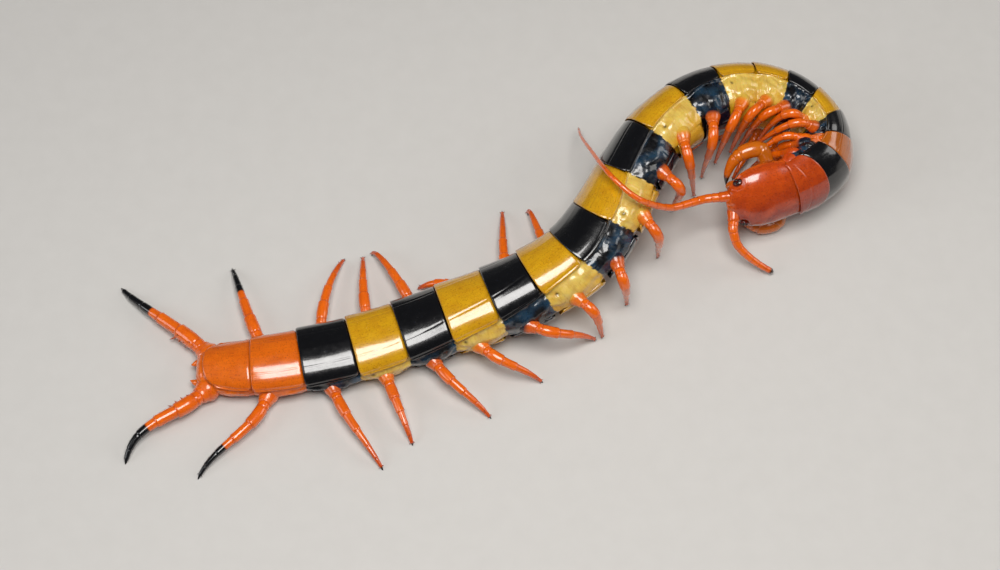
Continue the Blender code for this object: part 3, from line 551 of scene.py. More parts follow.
class Shape:
    """A mesh that is being gathered, with a colour and a place on its surface for each point."""

    def __init__(self):
        self.spots = []
        self.faces = []
        self.lies = []

    def grid(self, rows, size=(10.0, 10.0), closed=False, caps=False):
        """Add rows of spots with faces between them; the size is how long and wide the surface is."""
        first = len(self.spots)
        count = len(rows[0])
        for number, row in enumerate(rows):
            self.spots += row
            along = size[0] * number / len(rows)
            self.lies += [(size[1] * i / count, along, 0.0) for i in range(count)]
        for r in range(len(rows) - 1):
            for i in range(count if closed else count - 1):
                a = first + r * count + i
                b = first + r * count + (i + 1) % count
                self.faces.append((a, b, b + count, a + count))
        if caps:
            end = first + (len(rows) - 1) * count
            self.faces.append(tuple(first + i for i in reversed(range(count))))
            self.faces.append(tuple(end + i for i in range(count)))

    def tube(self, points, radii, sides, tints):
        """Add a closed round tube, with one colour for each ring."""
        along = points[1] - points[0]
        side = along.cross(UP) if abs(along.normalized().z) < 0.95 else Vector((1.0, 0.0, 0.0))
        rows = []
        for number, (point, radius, tint) in enumerate(zip(points, radii, tints)):
            after = points[min(number + 1, len(points) - 1)]
            along = (after - points[max(number - 1, 0)]).normalized()
            side = (side - along * side.dot(along)).normalized()
            other = along.cross(side)
            turns = [math.tau * (i + 0.5) / sides for i in range(sides)]
            rows.append([Spot(point + (side * math.cos(turn) + other * math.sin(turn)) * radius, tint)
                         for turn in turns])
        length = sum((end - start).length for start, end in zip(points, points[1:]))
        self.grid(rows, (length, math.tau * max(radii)), closed=True, caps=True)

    def spike(self, root, tip, radius, tint):
        """Add a small pointed cone that swells a little above its root."""
        outline = [(0.0, 1.0), (0.25, 0.9), (0.5, 0.66), (0.75, 0.38), (0.92, 0.16), (1.0, 0.03)]
        points = [root.lerp(tip, part) for part, _ in outline]
        self.tube(points, [radius * size for _, size in outline], 10, [tint] * len(outline))

    def ball(self, middle, directions, radii, tint):
        """Add a ball, flattened as its three radii say."""
        rows = []
        for r in range(1, BALL_RINGS):
            tilt = math.pi * r / BALL_RINGS
            row = []
            for c in range(BALL_SIDES):
                turn = math.tau * c / BALL_SIDES
                place = (math.sin(tilt) * math.cos(turn), math.sin(tilt) * math.sin(turn), math.cos(tilt))
                moves = [direction * radius * value
                         for direction, radius, value in zip(directions, radii, place)]
                row.append(Spot(middle + sum(moves, Vector()), tint))
            rows.append(row)
        self.grid(rows, closed=True, caps=True)

    def finish(self, name, material, slot, nodes=(), thickness=0.0):
        """Make the piece, which moves with the body and stands for CAD nodes."""
        mesh = bpy.data.meshes.new(name)
        mesh.from_pydata([lay_down(spot.point) for spot in self.spots], [], self.faces)
        tint = mesh.attributes.new("tint", "FLOAT_COLOR", "POINT")
        tint.data.foreach_set("color", [value for spot in self.spots for value in (*spot.tint, 1.0)])
        lie = mesh.attributes.new("lie", "FLOAT_VECTOR", "POINT")
        lie.data.foreach_set("vector", [value for place in self.lies for value in place])
        mesh.shade_smooth()
        mesh.materials.append(material)
        mesh.validate()
        piece = bpy.data.objects.new(name, mesh)
        bpy.context.scene.collection.objects.link(piece)
        if thickness:
            solid = piece.modifiers.new("thickness", "SOLIDIFY")
            solid.thickness = thickness * MM
            solid.offset = -1.0
        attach(piece, "root")
        if nodes:
            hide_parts(*nodes)
        return piece


def lay_down(point):
    """A point of the model in metres from the frame's origin, never below the floor."""
    placed = (point - FOOTPRINT_MIDDLE) * MM
    placed.z = max(placed.z, 0.0)
    return placed


def kind_at(place):
    """The colour kind of the trunk at a place."""
    return SEGMENT_KINDS[min(max(math.floor(place), 0), SEGMENTS - 1)]


def make_skin(material):
    """One soft skin over the whole trunk, wrinkled along its flanks and rounded at the tail."""
    arounds = [i * SECTION_POINTS / SKIN_SIDES for i in range(SKIN_SIDES)]
    rings = [(i / SKIN_RINGS, TrunkRing(i / SKIN_RINGS)) for i in range(SEGMENTS * SKIN_RINGS + 1)]
    for i in range(1, TAIL_RINGS + 1):
        turn = math.radians(TAIL_TURN * i / TAIL_RINGS)
        rings.append((SEGMENTS - 1e-6, TrunkRing(SEGMENTS, -TAIL_LENGTH * math.sin(turn), math.cos(turn))))
    rows = []
    for place, ring in rings:
        fullness = smooth_at(SKIN_FULLNESS, place % 1.0 * (len(SKIN_FULLNESS) - 1))
        rows.append([skin_spot(ring, place, around, fullness) for around in arounds])
    shape = Shape()
    length = sum((end - start).length for start, end in zip(AXIS, AXIS[1:]))
    shape.grid(rows[::-1], (length, math.tau * HALF_WIDTHS[0]), closed=True, caps=True)
    shape.finish("trunk_skin", material, "shell_black_and_yellow", TRUNK_NODES)


def skin_spot(ring, place, around, fullness):
    """One spot of the trunk's skin."""
    depth = min(around, SECTION_POINTS - around)
    flank = ease(depth, FLANK_FROM - 0.3, FLANK_FROM + 0.5) * ease(-depth, -FLANK_TO - 0.3, -FLANK_TO + 0.5)
    front_edge = 0.5 * min(depth / BACK_PLATE_REACH, 1.0) ** 2 if 0.3 < place < 1.0 else 0.0
    kind = kind_at(place + front_edge + cloud(place * 9.0, around * 1.6, 4.0) * 0.035)
    hole = spiracle(place, depth)
    lift = -SKIN_SUNK * (1.0 - flank) + flank * flank_folds(place, around, depth) - 0.3 * hole
    tint = mixed(PLATE_TINTS[kind], skin_tint(kind, place, around, depth), flank)
    # Painted shade: the dark inside of each breathing hole, which is itself only a shallow dip
    return Spot(ring.point(around, fullness, lift), mixed(tint, CLAW_BLACK, hole))


def spiracle(place, depth):
    """How deep in a breathing hole a place on the flank lies."""
    number = math.floor(place) + 1
    if number not in SPIRACLES:
        return 0.0
    along = (place % 1.0 - SPIRACLE_PLACE[0]) / SPIRACLE_SIZE[0]
    across = (depth - SPIRACLE_PLACE[1]) / SPIRACLE_SIZE[1]
    return math.exp(-along ** 2 - across ** 2)


def skin_tint(kind, place, around, depth):
    """Colour of the soft flank: blotched, and more like the plates towards the belly; on black segments the
    blotches are painted blue sheen.
    """
    blotch_and_sheen = 0.5 + 0.9 * cloud(place * 3.4, around * 0.8, 7.0)
    if kind == "black":
        # On black skin the blotches are painted blue sheen over the black
        return mixed(BLACK, mixed(DIM_PAINTED_BLUE_SHEEN, PAINTED_BLUE_SHEEN, blotch_and_sheen), ease(blotch_and_sheen, 0.2, 0.9))
    shade = 0.55 * ease(depth, 6.0, 8.2) + 0.35 * ease(blotch_and_sheen, 0.5, 1.0)
    return mixed(SKIN_TINTS[kind], PLATE_TINTS[kind], min(shade, 1.0))


def flank_folds(place, around, depth):
    """Relief of the soft flank: swollen lobes, long folds, fine cross pleats and puckers."""
    wander = cloud(place * 2.3, around * 0.4, 1.0)
    near, next_near = noise.voronoi(Vector((place * 3.0, around * 0.62 + wander * 0.3, 3.0)))[0][:2]
    lobes = LOBE_HEIGHT * ease(next_near - near, 0.0, 0.5) - LOBE_SUNK
    folds = FOLD_HEIGHT * math.sin((depth + wander * 0.7) * 5.0)
    pleated = 0.5 + cloud(place * 6.0, around * 1.1, 6.0)
    pleats = PLEAT_HEIGHT * math.sin(place * 96.0 + wander * 9.0) * pleated
    puckers = PUCKER_HEIGHT * cloud(place * 9.0, around * 1.3, 2.0)
    return lobes + folds + pleats + puckers


def make_plate(name, number, material, columns, spread, spot):
    """One thin plate of shell, from a function that gives its spot at each place along and across it."""
    across = [c / (columns - 1) * 2.0 - 1.0 for c in range(columns)]
    rows = [[spot(r / (PLATE_ROWS - 1), v) for v in across] for r in range(PLATE_ROWS)]
    shape = Shape()
    shape.grid(rows[::-1], ((AXIS[number] - AXIS[number - 1]).length, spread * HALF_WIDTHS[number]))
    slot = KIND_SLOTS[SEGMENT_KINDS[number - 1]]
    shape.finish("%s_%02d" % (name, number), material, slot, thickness=PLATE_THICKNESS)


def make_back_plate(number, material):
    """One back plate, with its side rims, two long sutures and a raised rear edge."""
    narrowing = TAIL_NARROWING if number == SEGMENTS else 0.0

    def spot(u, v):
        ring = TrunkRing.at(number - 1 + blend(*back_ends(number, abs(v)), u))
        around = v * (BACK_PLATE_REACH * (1.0 - narrowing * u * u)) % SECTION_POINTS
        point = ring.point(around, blend(*PLATE_FULLNESS, u), back_relief(number, u, v))
        return Spot(point, back_tint(SEGMENT_KINDS[number - 1], number, u, v))

    make_plate("tergite", number, material, PLATE_COLUMNS, BACK_PLATE_SPREAD, spot)


def back_ends(number, side):
    """Where a back plate starts and ends along its segment, by how far to the side: its corners are round."""
    corner = side ** 9
    if number == 1:
        return 0.03 * corner, 1.05 - 0.60 * side ** 2.2
    if number == 2:
        return 0.02 - 0.50 * side ** 2, 1.02 - 0.10 * corner
    if number == SEGMENTS:
        return 0.02 + 0.06 * corner, 1.0 - 0.34 * side ** 3
    return 0.02 + 0.08 * corner, 1.02 - 0.10 * corner


def back_relief(number, u, v):
    """Height of a back plate over the section."""
    side = abs(v)
    height, reach = ROOF
    lift = 0.02 + blend(*PLATE_RISE, ease(number, 12, 15)) * u * u + height * max(1.0 - side / reach, 0.0)
    lift -= SIDE_DROP * ease(side, 0.97, 1.0)
    lift -= FRONT_DROP * ease(-u, -0.05, 0.0)
    lift -= REAR_DROP * ease(u, 0.965, 1.0)
    lift += PLATE_LUMPS * cloud(number * 7.0 + u * 1.6, v * 2.0, 5.0)
    if number > 1:
        lift += RIM_HEIGHT * ridge(side, RIM_PLACE, RIM_WIDTH) * ease(u, 0.0, 0.2)
        lift -= RIM_GROOVE * ridge(side, RIM_PLACE - 0.075, 0.028)
    if 2 < number < SEGMENTS:
        lift -= SUTURE_DEPTH * ridge(side, SUTURE_PLACE + 0.03 * u, SUTURE_WIDTH) * ease(u, 0.02, 0.12)
    if number == 1:
        lift -= 0.10 * ridge(u, 0.13 + 0.30 * (1.0 - side ** 2), 0.02) * ease(-side, -0.8, -0.5)
    return lift


def back_tint(kind, number, u, v):
    """Colour of a back plate: darker at its edges, with long streaks, and darker towards the animal's left,
    which is partly painted shade of the side turned from the light.
    """
    colour = PLATE_TINTS[kind]
    edge = EDGE_TINTS[kind]
    streaks = 0.5 + 0.8 * cloud(v * 34.0, number * 3.0 + u * 1.2, 11.0)
    # Painted shade: darker towards the animal's left, the side turned from the light, broken by the plate's
    # real streaks
    shade = 0.10 + 0.45 * ease(-v, 0.0, 0.85) * streaks
    shade += 0.45 * ease(abs(v), 0.95, 1.0) + 0.30 * ease(u, 0.965, 1.0) + 0.2 * ease(-u, -0.10, 0.0)
    if kind == "orange":
        shade *= 0.6
    if kind == "red":
        # Painted shade on the red first plate too: darker towards the animal's left, with real streaks
        shade = 0.15 + 0.75 * ease(-v, -0.35, 0.6) + 0.2 * streaks - 0.1
    return mixed(colour, edge, min(max(shade, 0.0), DEEPEST))


def make_belly_plate(number, material):
    """One belly plate with two long sutures."""
    kind = SEGMENT_KINDS[number - 1]
    tint = mixed(PLATE_TINTS[kind], SKIN_TINTS[kind], 0.3)

    def spot(u, v):
        ring = TrunkRing.at(number - 1 + blend(0.05 + 0.05 * v ** 6, 0.98 - 0.10 * v ** 6, u))
        lift = 0.05 - 0.25 * ease(abs(v), 0.94, 1.0) - 0.25 * ease(-u, -0.05, 0.0)
        lift -= 0.06 * ridge(abs(v), 0.42, 0.03) + 0.05 * cloud(number * 5.0 + u * 3.0, v * 3.0, 3.0)
        point = ring.point(BELLY_MIDDLE + v * BELLY_PLATE_REACH, BELLY_FULLNESS, lift)
        return Spot(point, mixed(tint, EDGE_TINTS[kind], 0.4 * ease(abs(v), 0.9, 1.0)))

    make_plate("sternite", number, material, PLATE_COLUMNS // 2, BELLY_PLATE_SPREAD, spot)


def bend(start, first_handle, last_handle, end, t):
    """Point on a cubic curve between two ends with a handle each."""
    s = 1.0 - t
    return (start * s ** 3 + first_handle * (3 * s * s * t) + last_handle * (3 * s * t * t) + end * t ** 3)


class Course:
    """A bent line that is read by parts of its length."""

    STEPS = 96

    def __init__(self, *curve):
        self.points = [bend(*curve, i / self.STEPS) for i in range(self.STEPS + 1)]
        self.reached = [0.0]
        for start, end in zip(self.points, self.points[1:]):
            self.reached.append(self.reached[-1] + (end - start).length)

    def point(self, part):
        """The point at a part of the length."""
        goal = min(max(part, 0.0), 1.0) * self.reached[-1]
        number = min(bisect_right(self.reached, goal), self.STEPS) - 1
        step = self.reached[number + 1] - self.reached[number]
        return blend(self.points[number], self.points[number + 1], (goal - self.reached[number]) / step)


def upper_coxa(place, lift):
    """Where a leg grows on the section of an upright trunk or on the upper side of one laid over."""
    over = min(smooth_at(ROLLS, place) / FULL_ROLL, 1.0)
    out, down = [blend(upright, lying, over) for upright, lying in zip(UPRIGHT_COXA, UPPER_COXA)]
    return (out + lift * 0.4) * smooth_at(HALF_WIDTHS, place), (lift - down) * smooth_at(HALF_HEIGHTS, place)


def lower_coxa(place):
    """Where a leg grows on the under side of a trunk that is laid over."""
    roll = math.radians(smooth_at(ROLLS, place))
    right = LOWER_COXA_LEAN * math.cos(roll) - math.sin(roll)
    up = -LOWER_COXA_LEAN * math.sin(roll) - math.cos(roll)
    across = math.hypot(right / smooth_at(HALF_WIDTHS, place), up / smooth_at(HALF_HEIGHTS, place))
    return right * LOWER_COXA_DEPTH / across, up * LOWER_COXA_DEPTH / across


def coxa_spot(number, side):
    """Where a leg grows just under the skin, and the level directions out from the body and back."""
    place = number - 1 + (LAST_LEG_PLACE if number == SEGMENTS else LEG_PLACE)
    along, lift = (RIGHT_COXA_SHIFTS if side > 0 else LEFT_COXA_SHIFTS).get(number, (0.0, 0.0))
    place += along
    trunk = trunk_frame(place)
    right, up = upper_coxa(place, lift)
    right *= side
    if side < 0:
        first, last = ROLL_UNDER
        under = min(max((smooth_at(ROLLS, place) - first) / (last - first), 0.0), 1.0)
        right, up = [blend(start, end, under) for start, end in zip((right, up), lower_coxa(place))]
    back = Vector((-trunk.ahead.x, -trunk.ahead.y, 0.0)).normalized()
    return trunk.point(0.0, right, up), UP.cross(back) * side, back


def leg_radius(number):
    """Half the thickness of a leg near its base."""
    return LAST_LEG_RADII.get(number) or blend(*LEG_RADII, min(number / FULL_LEG, 1.0))


def leg_course(number, side, leg):
    """Where a leg grows, the direction in which it leaves the body, and its course to its claw."""
    spot, square, back = coxa_spot(number, side)
    foot = Vector((leg.x, leg.y, leg.z))
    if leg.pitch is STRAIGHT:
        leaving = (foot - spot).normalized()
        base = spot + leaving * (COXA_REACH + JOINT_GAP)
        return spot, leaving, Course(base, blend(base, foot, 1 / 3), blend(base, foot, 2 / 3), foot)
    level = foot - spot
    level.z = 0.0
    level.normalize()
    if level.dot(square) < 0.0:
        square = -square
    out = (level + square * leg.square + back * leg.back).normalized()
    pitch = math.radians(leg.pitch)
    leaving = out * math.cos(pitch) + UP * math.sin(pitch)
    base = spot + leaving * (COXA_REACH + JOINT_GAP)
    span = foot - base
    stride = span.length * LEG_STRIDE
    if leaving.z < 0.0:
        stride = min(stride, max(base.z - LEG_LOW, 0.5) / -leaving.z)
    first_handle = base + leaving * stride
    last_handle = foot + span * leg.hook + UP * leg.rise + level.cross(UP) * leg.bow
    return spot, leaving, Course(base, first_handle, last_handle, foot)


def article_swell(part, joints, groove_width):
    """How a limb swells within each article and is drawn in at its joints."""
    inside = 0.0
    for start, end in zip([0.0] + joints, joints + [1.0]):
        if start <= part <= end:
            inside = (part - start) / (end - start)
    groove = sum(ridge(part, joint, groove_width) for joint in joints)
    return 1.0 + JOINT_FLARE * inside ** 3 - 0.02 - JOINT_GROOVE * min(groove, 1.0)


def leg_tint(number, part):
    """Colour of a leg along its length: redder to its end, with dark joints and a dark claw."""
    colour = mixed(LEG_ORANGE, LEG_RED, 0.75 * ease(part, 0.45, 1.0))
    crease = max(ridge(part, joint, 0.008) for joint in LEG_JOINTS)
    colour = mixed(colour, LEG_RED, 0.5 * crease)
    dark_from = DARK_END_START.get(number, CLAW_START)
    dark = BLACK if number in DARK_END_START else CLAW_BLACK
    return mixed(colour, dark, ease(part, dark_from - 0.010, dark_from + 0.010))


def make_leg(number, side, leg, material):
    """One walking leg with its articles, its spurs and its claw."""
    name = "%s_%02d" % (SIDE_NAMES[side], number)
    _, leaving, course = leg_course(number, side, leg)
    radius = leg_radius(number)
    parts = [i / LEG_RINGS for i in range(LEG_RINGS + 1)]
    points = [course.point(part) for part in parts]
    sizes = np.interp(parts, *zip(*LEG_OUTLINE))
    radii = [radius * size * article_swell(part, LEG_JOINTS, LEG_GROOVE_WIDTH)
             for size, part in zip(sizes, parts)]
    for point, half_thick in zip(points, radii):
        point.z = max(point.z, half_thick)
    tints = [leg_tint(number, part) for part in parts]
    root = points[0] - leaving * (JOINT_GAP + LEG_ROOT)
    shape = Shape()
    shape.tube([root] + points, [radii[0] * LEG_ROOT_SIZE] + radii, LEG_SIDES, [tints[0]] + tints)
    inwards = leaving.cross(UP).normalized() * side
    for part, turn, length, thick in LAST_LEG_SPINES if number == SEGMENTS else LEG_SPINES:
        ring = round(part * LEG_RINGS)
        along = (points[ring + 2] - points[ring - 2]).normalized()
        across = (inwards - along * inwards.dot(along)).normalized()
        raised = math.radians(turn)
        out = across * math.cos(raised) + across.cross(along) * -side * math.sin(raised)
        root = points[ring] + out * radii[ring] * 0.7
        tip = points[ring] + out * (radii[ring] + length * 0.8) + along * length * 0.8
        shape.spike(root, tip, thick, mixed(tints[ring], CLAW_BLACK, 0.5))
    slot = "limb_orange_dark_ended" if number in DARK_END_START else "limb_orange"
    shape.finish("limb_" + name, material, slot, ["leg_" + name])


def make_coxa(number, side, leg, material):
    """The stub that carries a leg, widest near the skin and narrower towards the leg."""
    name = "%s_%02d" % (SIDE_NAMES[side], number)
    kind = SEGMENT_KINDS[number - 1]
    spot, leaving, _ = leg_course(number, side, leg)
    radius = leg_radius(number)
    points = [spot + leaving * ahead for ahead, _ in COXA_OUTLINE]
    radii = [radius * size for _, size in COXA_OUTLINE]
    tint = mixed(PLATE_TINTS[kind], SKIN_TINTS[kind], 0.5)
    end_tint = mixed(tint, LEG_ORANGE, 0.85)
    tints = [mixed(tint, end_tint, ease(ahead, -0.4, 0.6)) for ahead, _ in COXA_OUTLINE]
    shape = Shape()
    shape.tube(points, radii, LEG_SIDES, tints)
    shape.finish("coxa_" + name, material, KIND_SLOTS[kind])


def oval_ring(place, ahead, half_width, top, bottom, power=2.4):
    """A rounded ring across the head, with its own height above and depth below."""
    ring = []
    for i in range(HEAD_SIDES):
        turn = math.tau * i / HEAD_SIDES
        x = math.copysign(abs(math.sin(turn)) ** (2 / power), math.sin(turn)) * half_width
        y = math.copysign(abs(math.cos(turn)) ** (2 / power), math.cos(turn))
        ring.append(place.point(ahead, x, y * (top if y > 0 else bottom)))
    return ring


def head_rows(neck, rows, relief, tint):
    """Fine rings over a part of the head, from its neck to its front, with its relief and colour."""
    place = head_frame()
    coarse = [np.array(oval_ring(trunk_frame(0.0), -HEAD_SUNK, *neck))]
    coarse += [np.array(oval_ring(place, *row)) for row in rows]
    count = (len(coarse) - 1) * HEAD_RINGS_BETWEEN
    fine = []
    for r in range(count + 1):
        row = []
        for i, point in enumerate(smooth_at(coarse, r / HEAD_RINGS_BETWEEN)):
            turn = (math.degrees(math.tau * i / HEAD_SIDES) + 180.0) % 360.0 - 180.0
            out = place.out(math.sin(math.radians(turn)), math.cos(math.radians(turn)))
            raised = Vector(point) + out * relief(r / count, turn) * ease(-r / count, -1.0, -0.93)
            row.append(Spot(hollow_for_eyes(raised), tint(r / count, turn)))
        fine.append(row)
    return fine


def hollow_for_eyes(point):
    """A point of the shield, sunk where the eyes sit and raised in a rim round them."""
    for side in SIDE_NAMES:
        middle, _, _, out = eye_frame(side)
        away = (point - middle).length
        reach, depth = EYE_HOLLOW
        rim_reach, rim_width, rim_height = EYE_RIM
        lift = rim_height * ridge(away, rim_reach, rim_width) - depth * ridge(away, 0.0, reach)
        point = point + out * lift
    return point


def shield_relief(u, turn):
    """Relief of the head shield: a rim, a step below it, two faint sutures and a furrow at the front."""
    side = abs(turn)
    lift = SHIELD_RIM * ridge(side, SHIELD_EDGE - 7.0, 4.0)
    lift -= SHIELD_STEP * ease(side, SHIELD_EDGE, SHIELD_EDGE + 4.0)
    lift -= 0.10 * ridge(side, 26.0 + 6.0 * u, 1.6) * ease(-u, -0.34, -0.05)
    lift -= 0.18 * ridge(turn, 0.0, 3.5) * ease(u, 0.62, 0.86)
    return lift + 0.07 * cloud(u * 7.0, turn / 30.0, 2.0)


def shield_tint(u, turn):
    """Colour of the head shield: deep red mottling, deepened to the animal's left by painted shade of the
    side turned down from the light, and orange at its edges and front.
    """
    patches = 0.5 + 0.9 * cloud(u * 9.0, turn / 22.0, 21.0)
    # Painted shade: the red deepens towards the animal's left, the side turned down, times the real mottling
    # patches
    deep = ease(-turn, -30.0, 40.0) * (0.35 + 0.5 * patches)
    colour = mixed(RED, DEEP_RED, min(max(deep, 0.0), DEEPEST))
    edge = max(ease(u, 0.60, 0.95), ridge(abs(turn), SHIELD_EDGE - 4.0, 9.0) * 0.8)
    colour = mixed(colour, ORANGE, 0.6 * edge)
    below = ease(abs(turn), SHIELD_EDGE, SHIELD_EDGE + 6.0)
    return mixed(colour, mixed(AMBER, DEEP_RED, 0.25), below)


def fang_plate_relief(u, turn):
    """Relief of the plate that bears the fangs: a furrow along its middle and soft lobes beside it."""
    return 0.12 * cloud(u * 5.0, turn / 26.0, 12.0) - 0.22 * ridge(abs(turn), 180.0, 3.0)


def fang_plate_tint(u, turn):
    """Colour of the plate that bears the fangs."""
    patches = 0.5 + 0.9 * cloud(u * 7.0, turn / 20.0, 31.0)
    return mixed(mixed(ORANGE, AMBER, 0.6), DEEP_RED, min(max(0.45 * patches, 0.0), 0.6))


def make_head(material):
    """The head: its shield, the plate below it that bears the fangs, and the mouthparts."""
    shape = Shape()
    for size, *part in ((SHIELD_SPREAD, SHIELD_NECK, SHIELD, shield_relief, shield_tint),
                        (FANG_PLATE_SPREAD, FANG_PLATE_NECK, FANG_PLATE, fang_plate_relief, fang_plate_tint)):
        shape.grid(head_rows(*part), size, closed=True, caps=True)
    for side in SIDE_NAMES:
        add_mouthparts(shape, side)
    shape.finish("head_shell", material, "shell_red", ["head"])


def add_mouthparts(shape, side):
    """A palp, and a plate with four blunt teeth between the fangs."""
    place = head_frame()
    for route, radii in ((PALP_ROUTE, PALP_RADII), (TOOTH_PLATE, TOOTH_PLATE_RADII)):
        points = [place.point(ahead, right * side, up) for ahead, right, up in route]
        fine_tube(shape, points, radii, PALP_STEPS, mixed(ORANGE, AMBER, 0.4))
    ahead, right, up = TOOTH_PLATE[-1]
    for across in TEETH:
        root = place.point(ahead - 0.25, right * side + across, up)
        shape.spike(root, root + place.ahead * 0.6, 0.16, CLAW_BLACK)


def fine_tube(shape, points, radii, steps, tint):
    """Add a tube on a smooth curve through a few points."""
    count = (len(points) - 1) * steps
    line = [smooth_at(points, i / steps) for i in range(count + 1)]
    sizes = [max(smooth_at(radii, i / steps), THINNEST) for i in range(count + 1)]
    shape.tube(line, sizes, SMALL_SIDES, [tint] * (count + 1))


def make_tail_processes(material):
    """The two pointed processes below the end of the trunk, with small dark spines."""
    place = trunk_frame(float(SEGMENTS))
    for side, name in SIDE_NAMES.items():
        points = [place.point(ahead, right * side, up) for ahead, right, up in TAIL_PROCESS]
        shape = Shape()
        fine_tube(shape, points, TAIL_PROCESS_RADII, TAIL_PROCESS_STEPS, ORANGE)
        root = points[1].lerp(points[2], 0.8)
        shape.spike(root, points[2] - place.ahead * 0.1, 0.14, CLAW_BLACK)
        shape.finish("tail_process_" + name, material, "shell_orange")


def make_antenna(side, material):
    """A tapering feeler of many articles, with the socket that it grows from."""
    place = head_frame()
    ahead, right, up = ANTENNA_SOCKET
    socket = place.point(ahead, right * side, up)
    route = [Vector(point) for point in (RIGHT_ANTENNA_ROUTE if side > 0 else LEFT_ANTENNA_ROUTE)]
    along = (route[0] - socket).normalized()
    points = [socket + along * (ANTENNA_SOCKET_REACH + JOINT_GAP)] + route
    radii = RIGHT_ANTENNA_RADII if side > 0 else LEFT_ANTENNA_RADII
    count = ANTENNA_ARTICLES[side] * ANTENNA_STEPS
    line, sizes, tints = [], [], []
    for i in range(count + 1):
        part = i / count
        inside = i % ANTENNA_STEPS / ANTENNA_STEPS
        crease = min(inside, 1.0 - inside) * ANTENNA_STEPS < 0.5
        line.append(smooth_at(points, part * (len(points) - 1)))
        tip = 1.0 - 0.55 * ease(part, 0.97, 1.0)
        swell = ANTENNA_CREASE if crease else ANTENNA_SWELL[0] + ANTENNA_SWELL[1] * inside
        sizes.append(blend(*radii, part) * swell * tip)
        tint = mixed(LEG_ORANGE, LEG_RED, 0.35 * ease(part, 0.6, 1.0) + (0.6 if crease else 0.0))
        tints.append(mixed(tint, CLAW_BLACK, ease(part, LEFT_TIP_START, 0.97)) if side < 0 else tint)
    shape = Shape()
    shape.tube(line, sizes, ANTENNA_SIDES, tints)
    stub = [socket + along * ahead for ahead, _ in ANTENNA_STUB] + [line[2]]
    stub_radii = [radii[0] * size for size in [size for _, size in ANTENNA_STUB] + [ANTENNA_STUB_END]]
    shape.tube(stub, stub_radii, ANTENNA_SIDES, [mixed(RED, LEG_ORANGE, 0.5)] * len(stub))
    shape.finish("feeler_" + SIDE_NAMES[side], material, "limb_orange", ["antenna_" + SIDE_NAMES[side]])


def make_fang(side, material):
    """A poison claw, curving in below the front of the head."""
    place = head_frame()
    points = [place.point(ahead + FANG_SHIFTS[side], right * side * FANG_SPREADS[side], up)
              for ahead, right, up in [FANG_SOCKET] + FANG_ROUTE]
    count = (len(points) - 1) * FANG_STEPS
    parts = [i / count for i in range(count + 1)]
    line = [smooth_at(points, part * (len(points) - 1)) for part in parts]
    radii = [max(smooth_at(FANG_RADII, part * (len(points) - 1)), THINNEST) for part in parts]
    sizes = [radius * article_swell(part, FANG_JOINTS, FANG_GROOVE_WIDTH)
             for radius, part in zip(radii, parts)]
    tints = [mixed(mixed(ORANGE, AMBER, 1.0 - part), CLAW_BLACK, ease(part, *FANG_TIP)) for part in parts]
    shape = Shape()
    shape.tube(line, sizes, FANG_SIDES, tints)
    shape.finish("fang_" + SIDE_NAMES[side], material, "claw_orange", ["forcipule_" + SIDE_NAMES[side]])


def eye_frame(side):
    """Where a group of eyes sits: its middle and the directions along, across and out of the shield."""
    place = head_frame()
    ahead, right, up = EYE_PLACE
    middle = place.point(ahead, right * side, up)
    ahead, right, up = EYE_FACING
    out = (place.ahead * ahead + place.right * right * side + place.up * up).normalized()
    along = (place.ahead - out * place.ahead.dot(out)).normalized()
    return middle, along, out.cross(along), out


def make_eyes(side, material):
    """Four single eyes on a common pad."""
    middle, along, across, out = eye_frame(side)
    directions = (along, across, out)
    shape = Shape()
    shape.ball(middle, directions, EYE_PAD, mixed(DEEP_RED, BLACK, 0.6))
    for a, b in ((1, 0), (-1, 0), (0, 1), (0, -1)):
        spot = middle + along * EYE_SPREAD[0] * a + across * EYE_SPREAD[1] * b + out * 0.15
        shape.ball(spot, directions, [EYE_RADIUS] * 3, BLACK)
    shape.finish("ocelli_" + SIDE_NAMES[side], material, "eye_black", ["eye_" + SIDE_NAMES[side]])


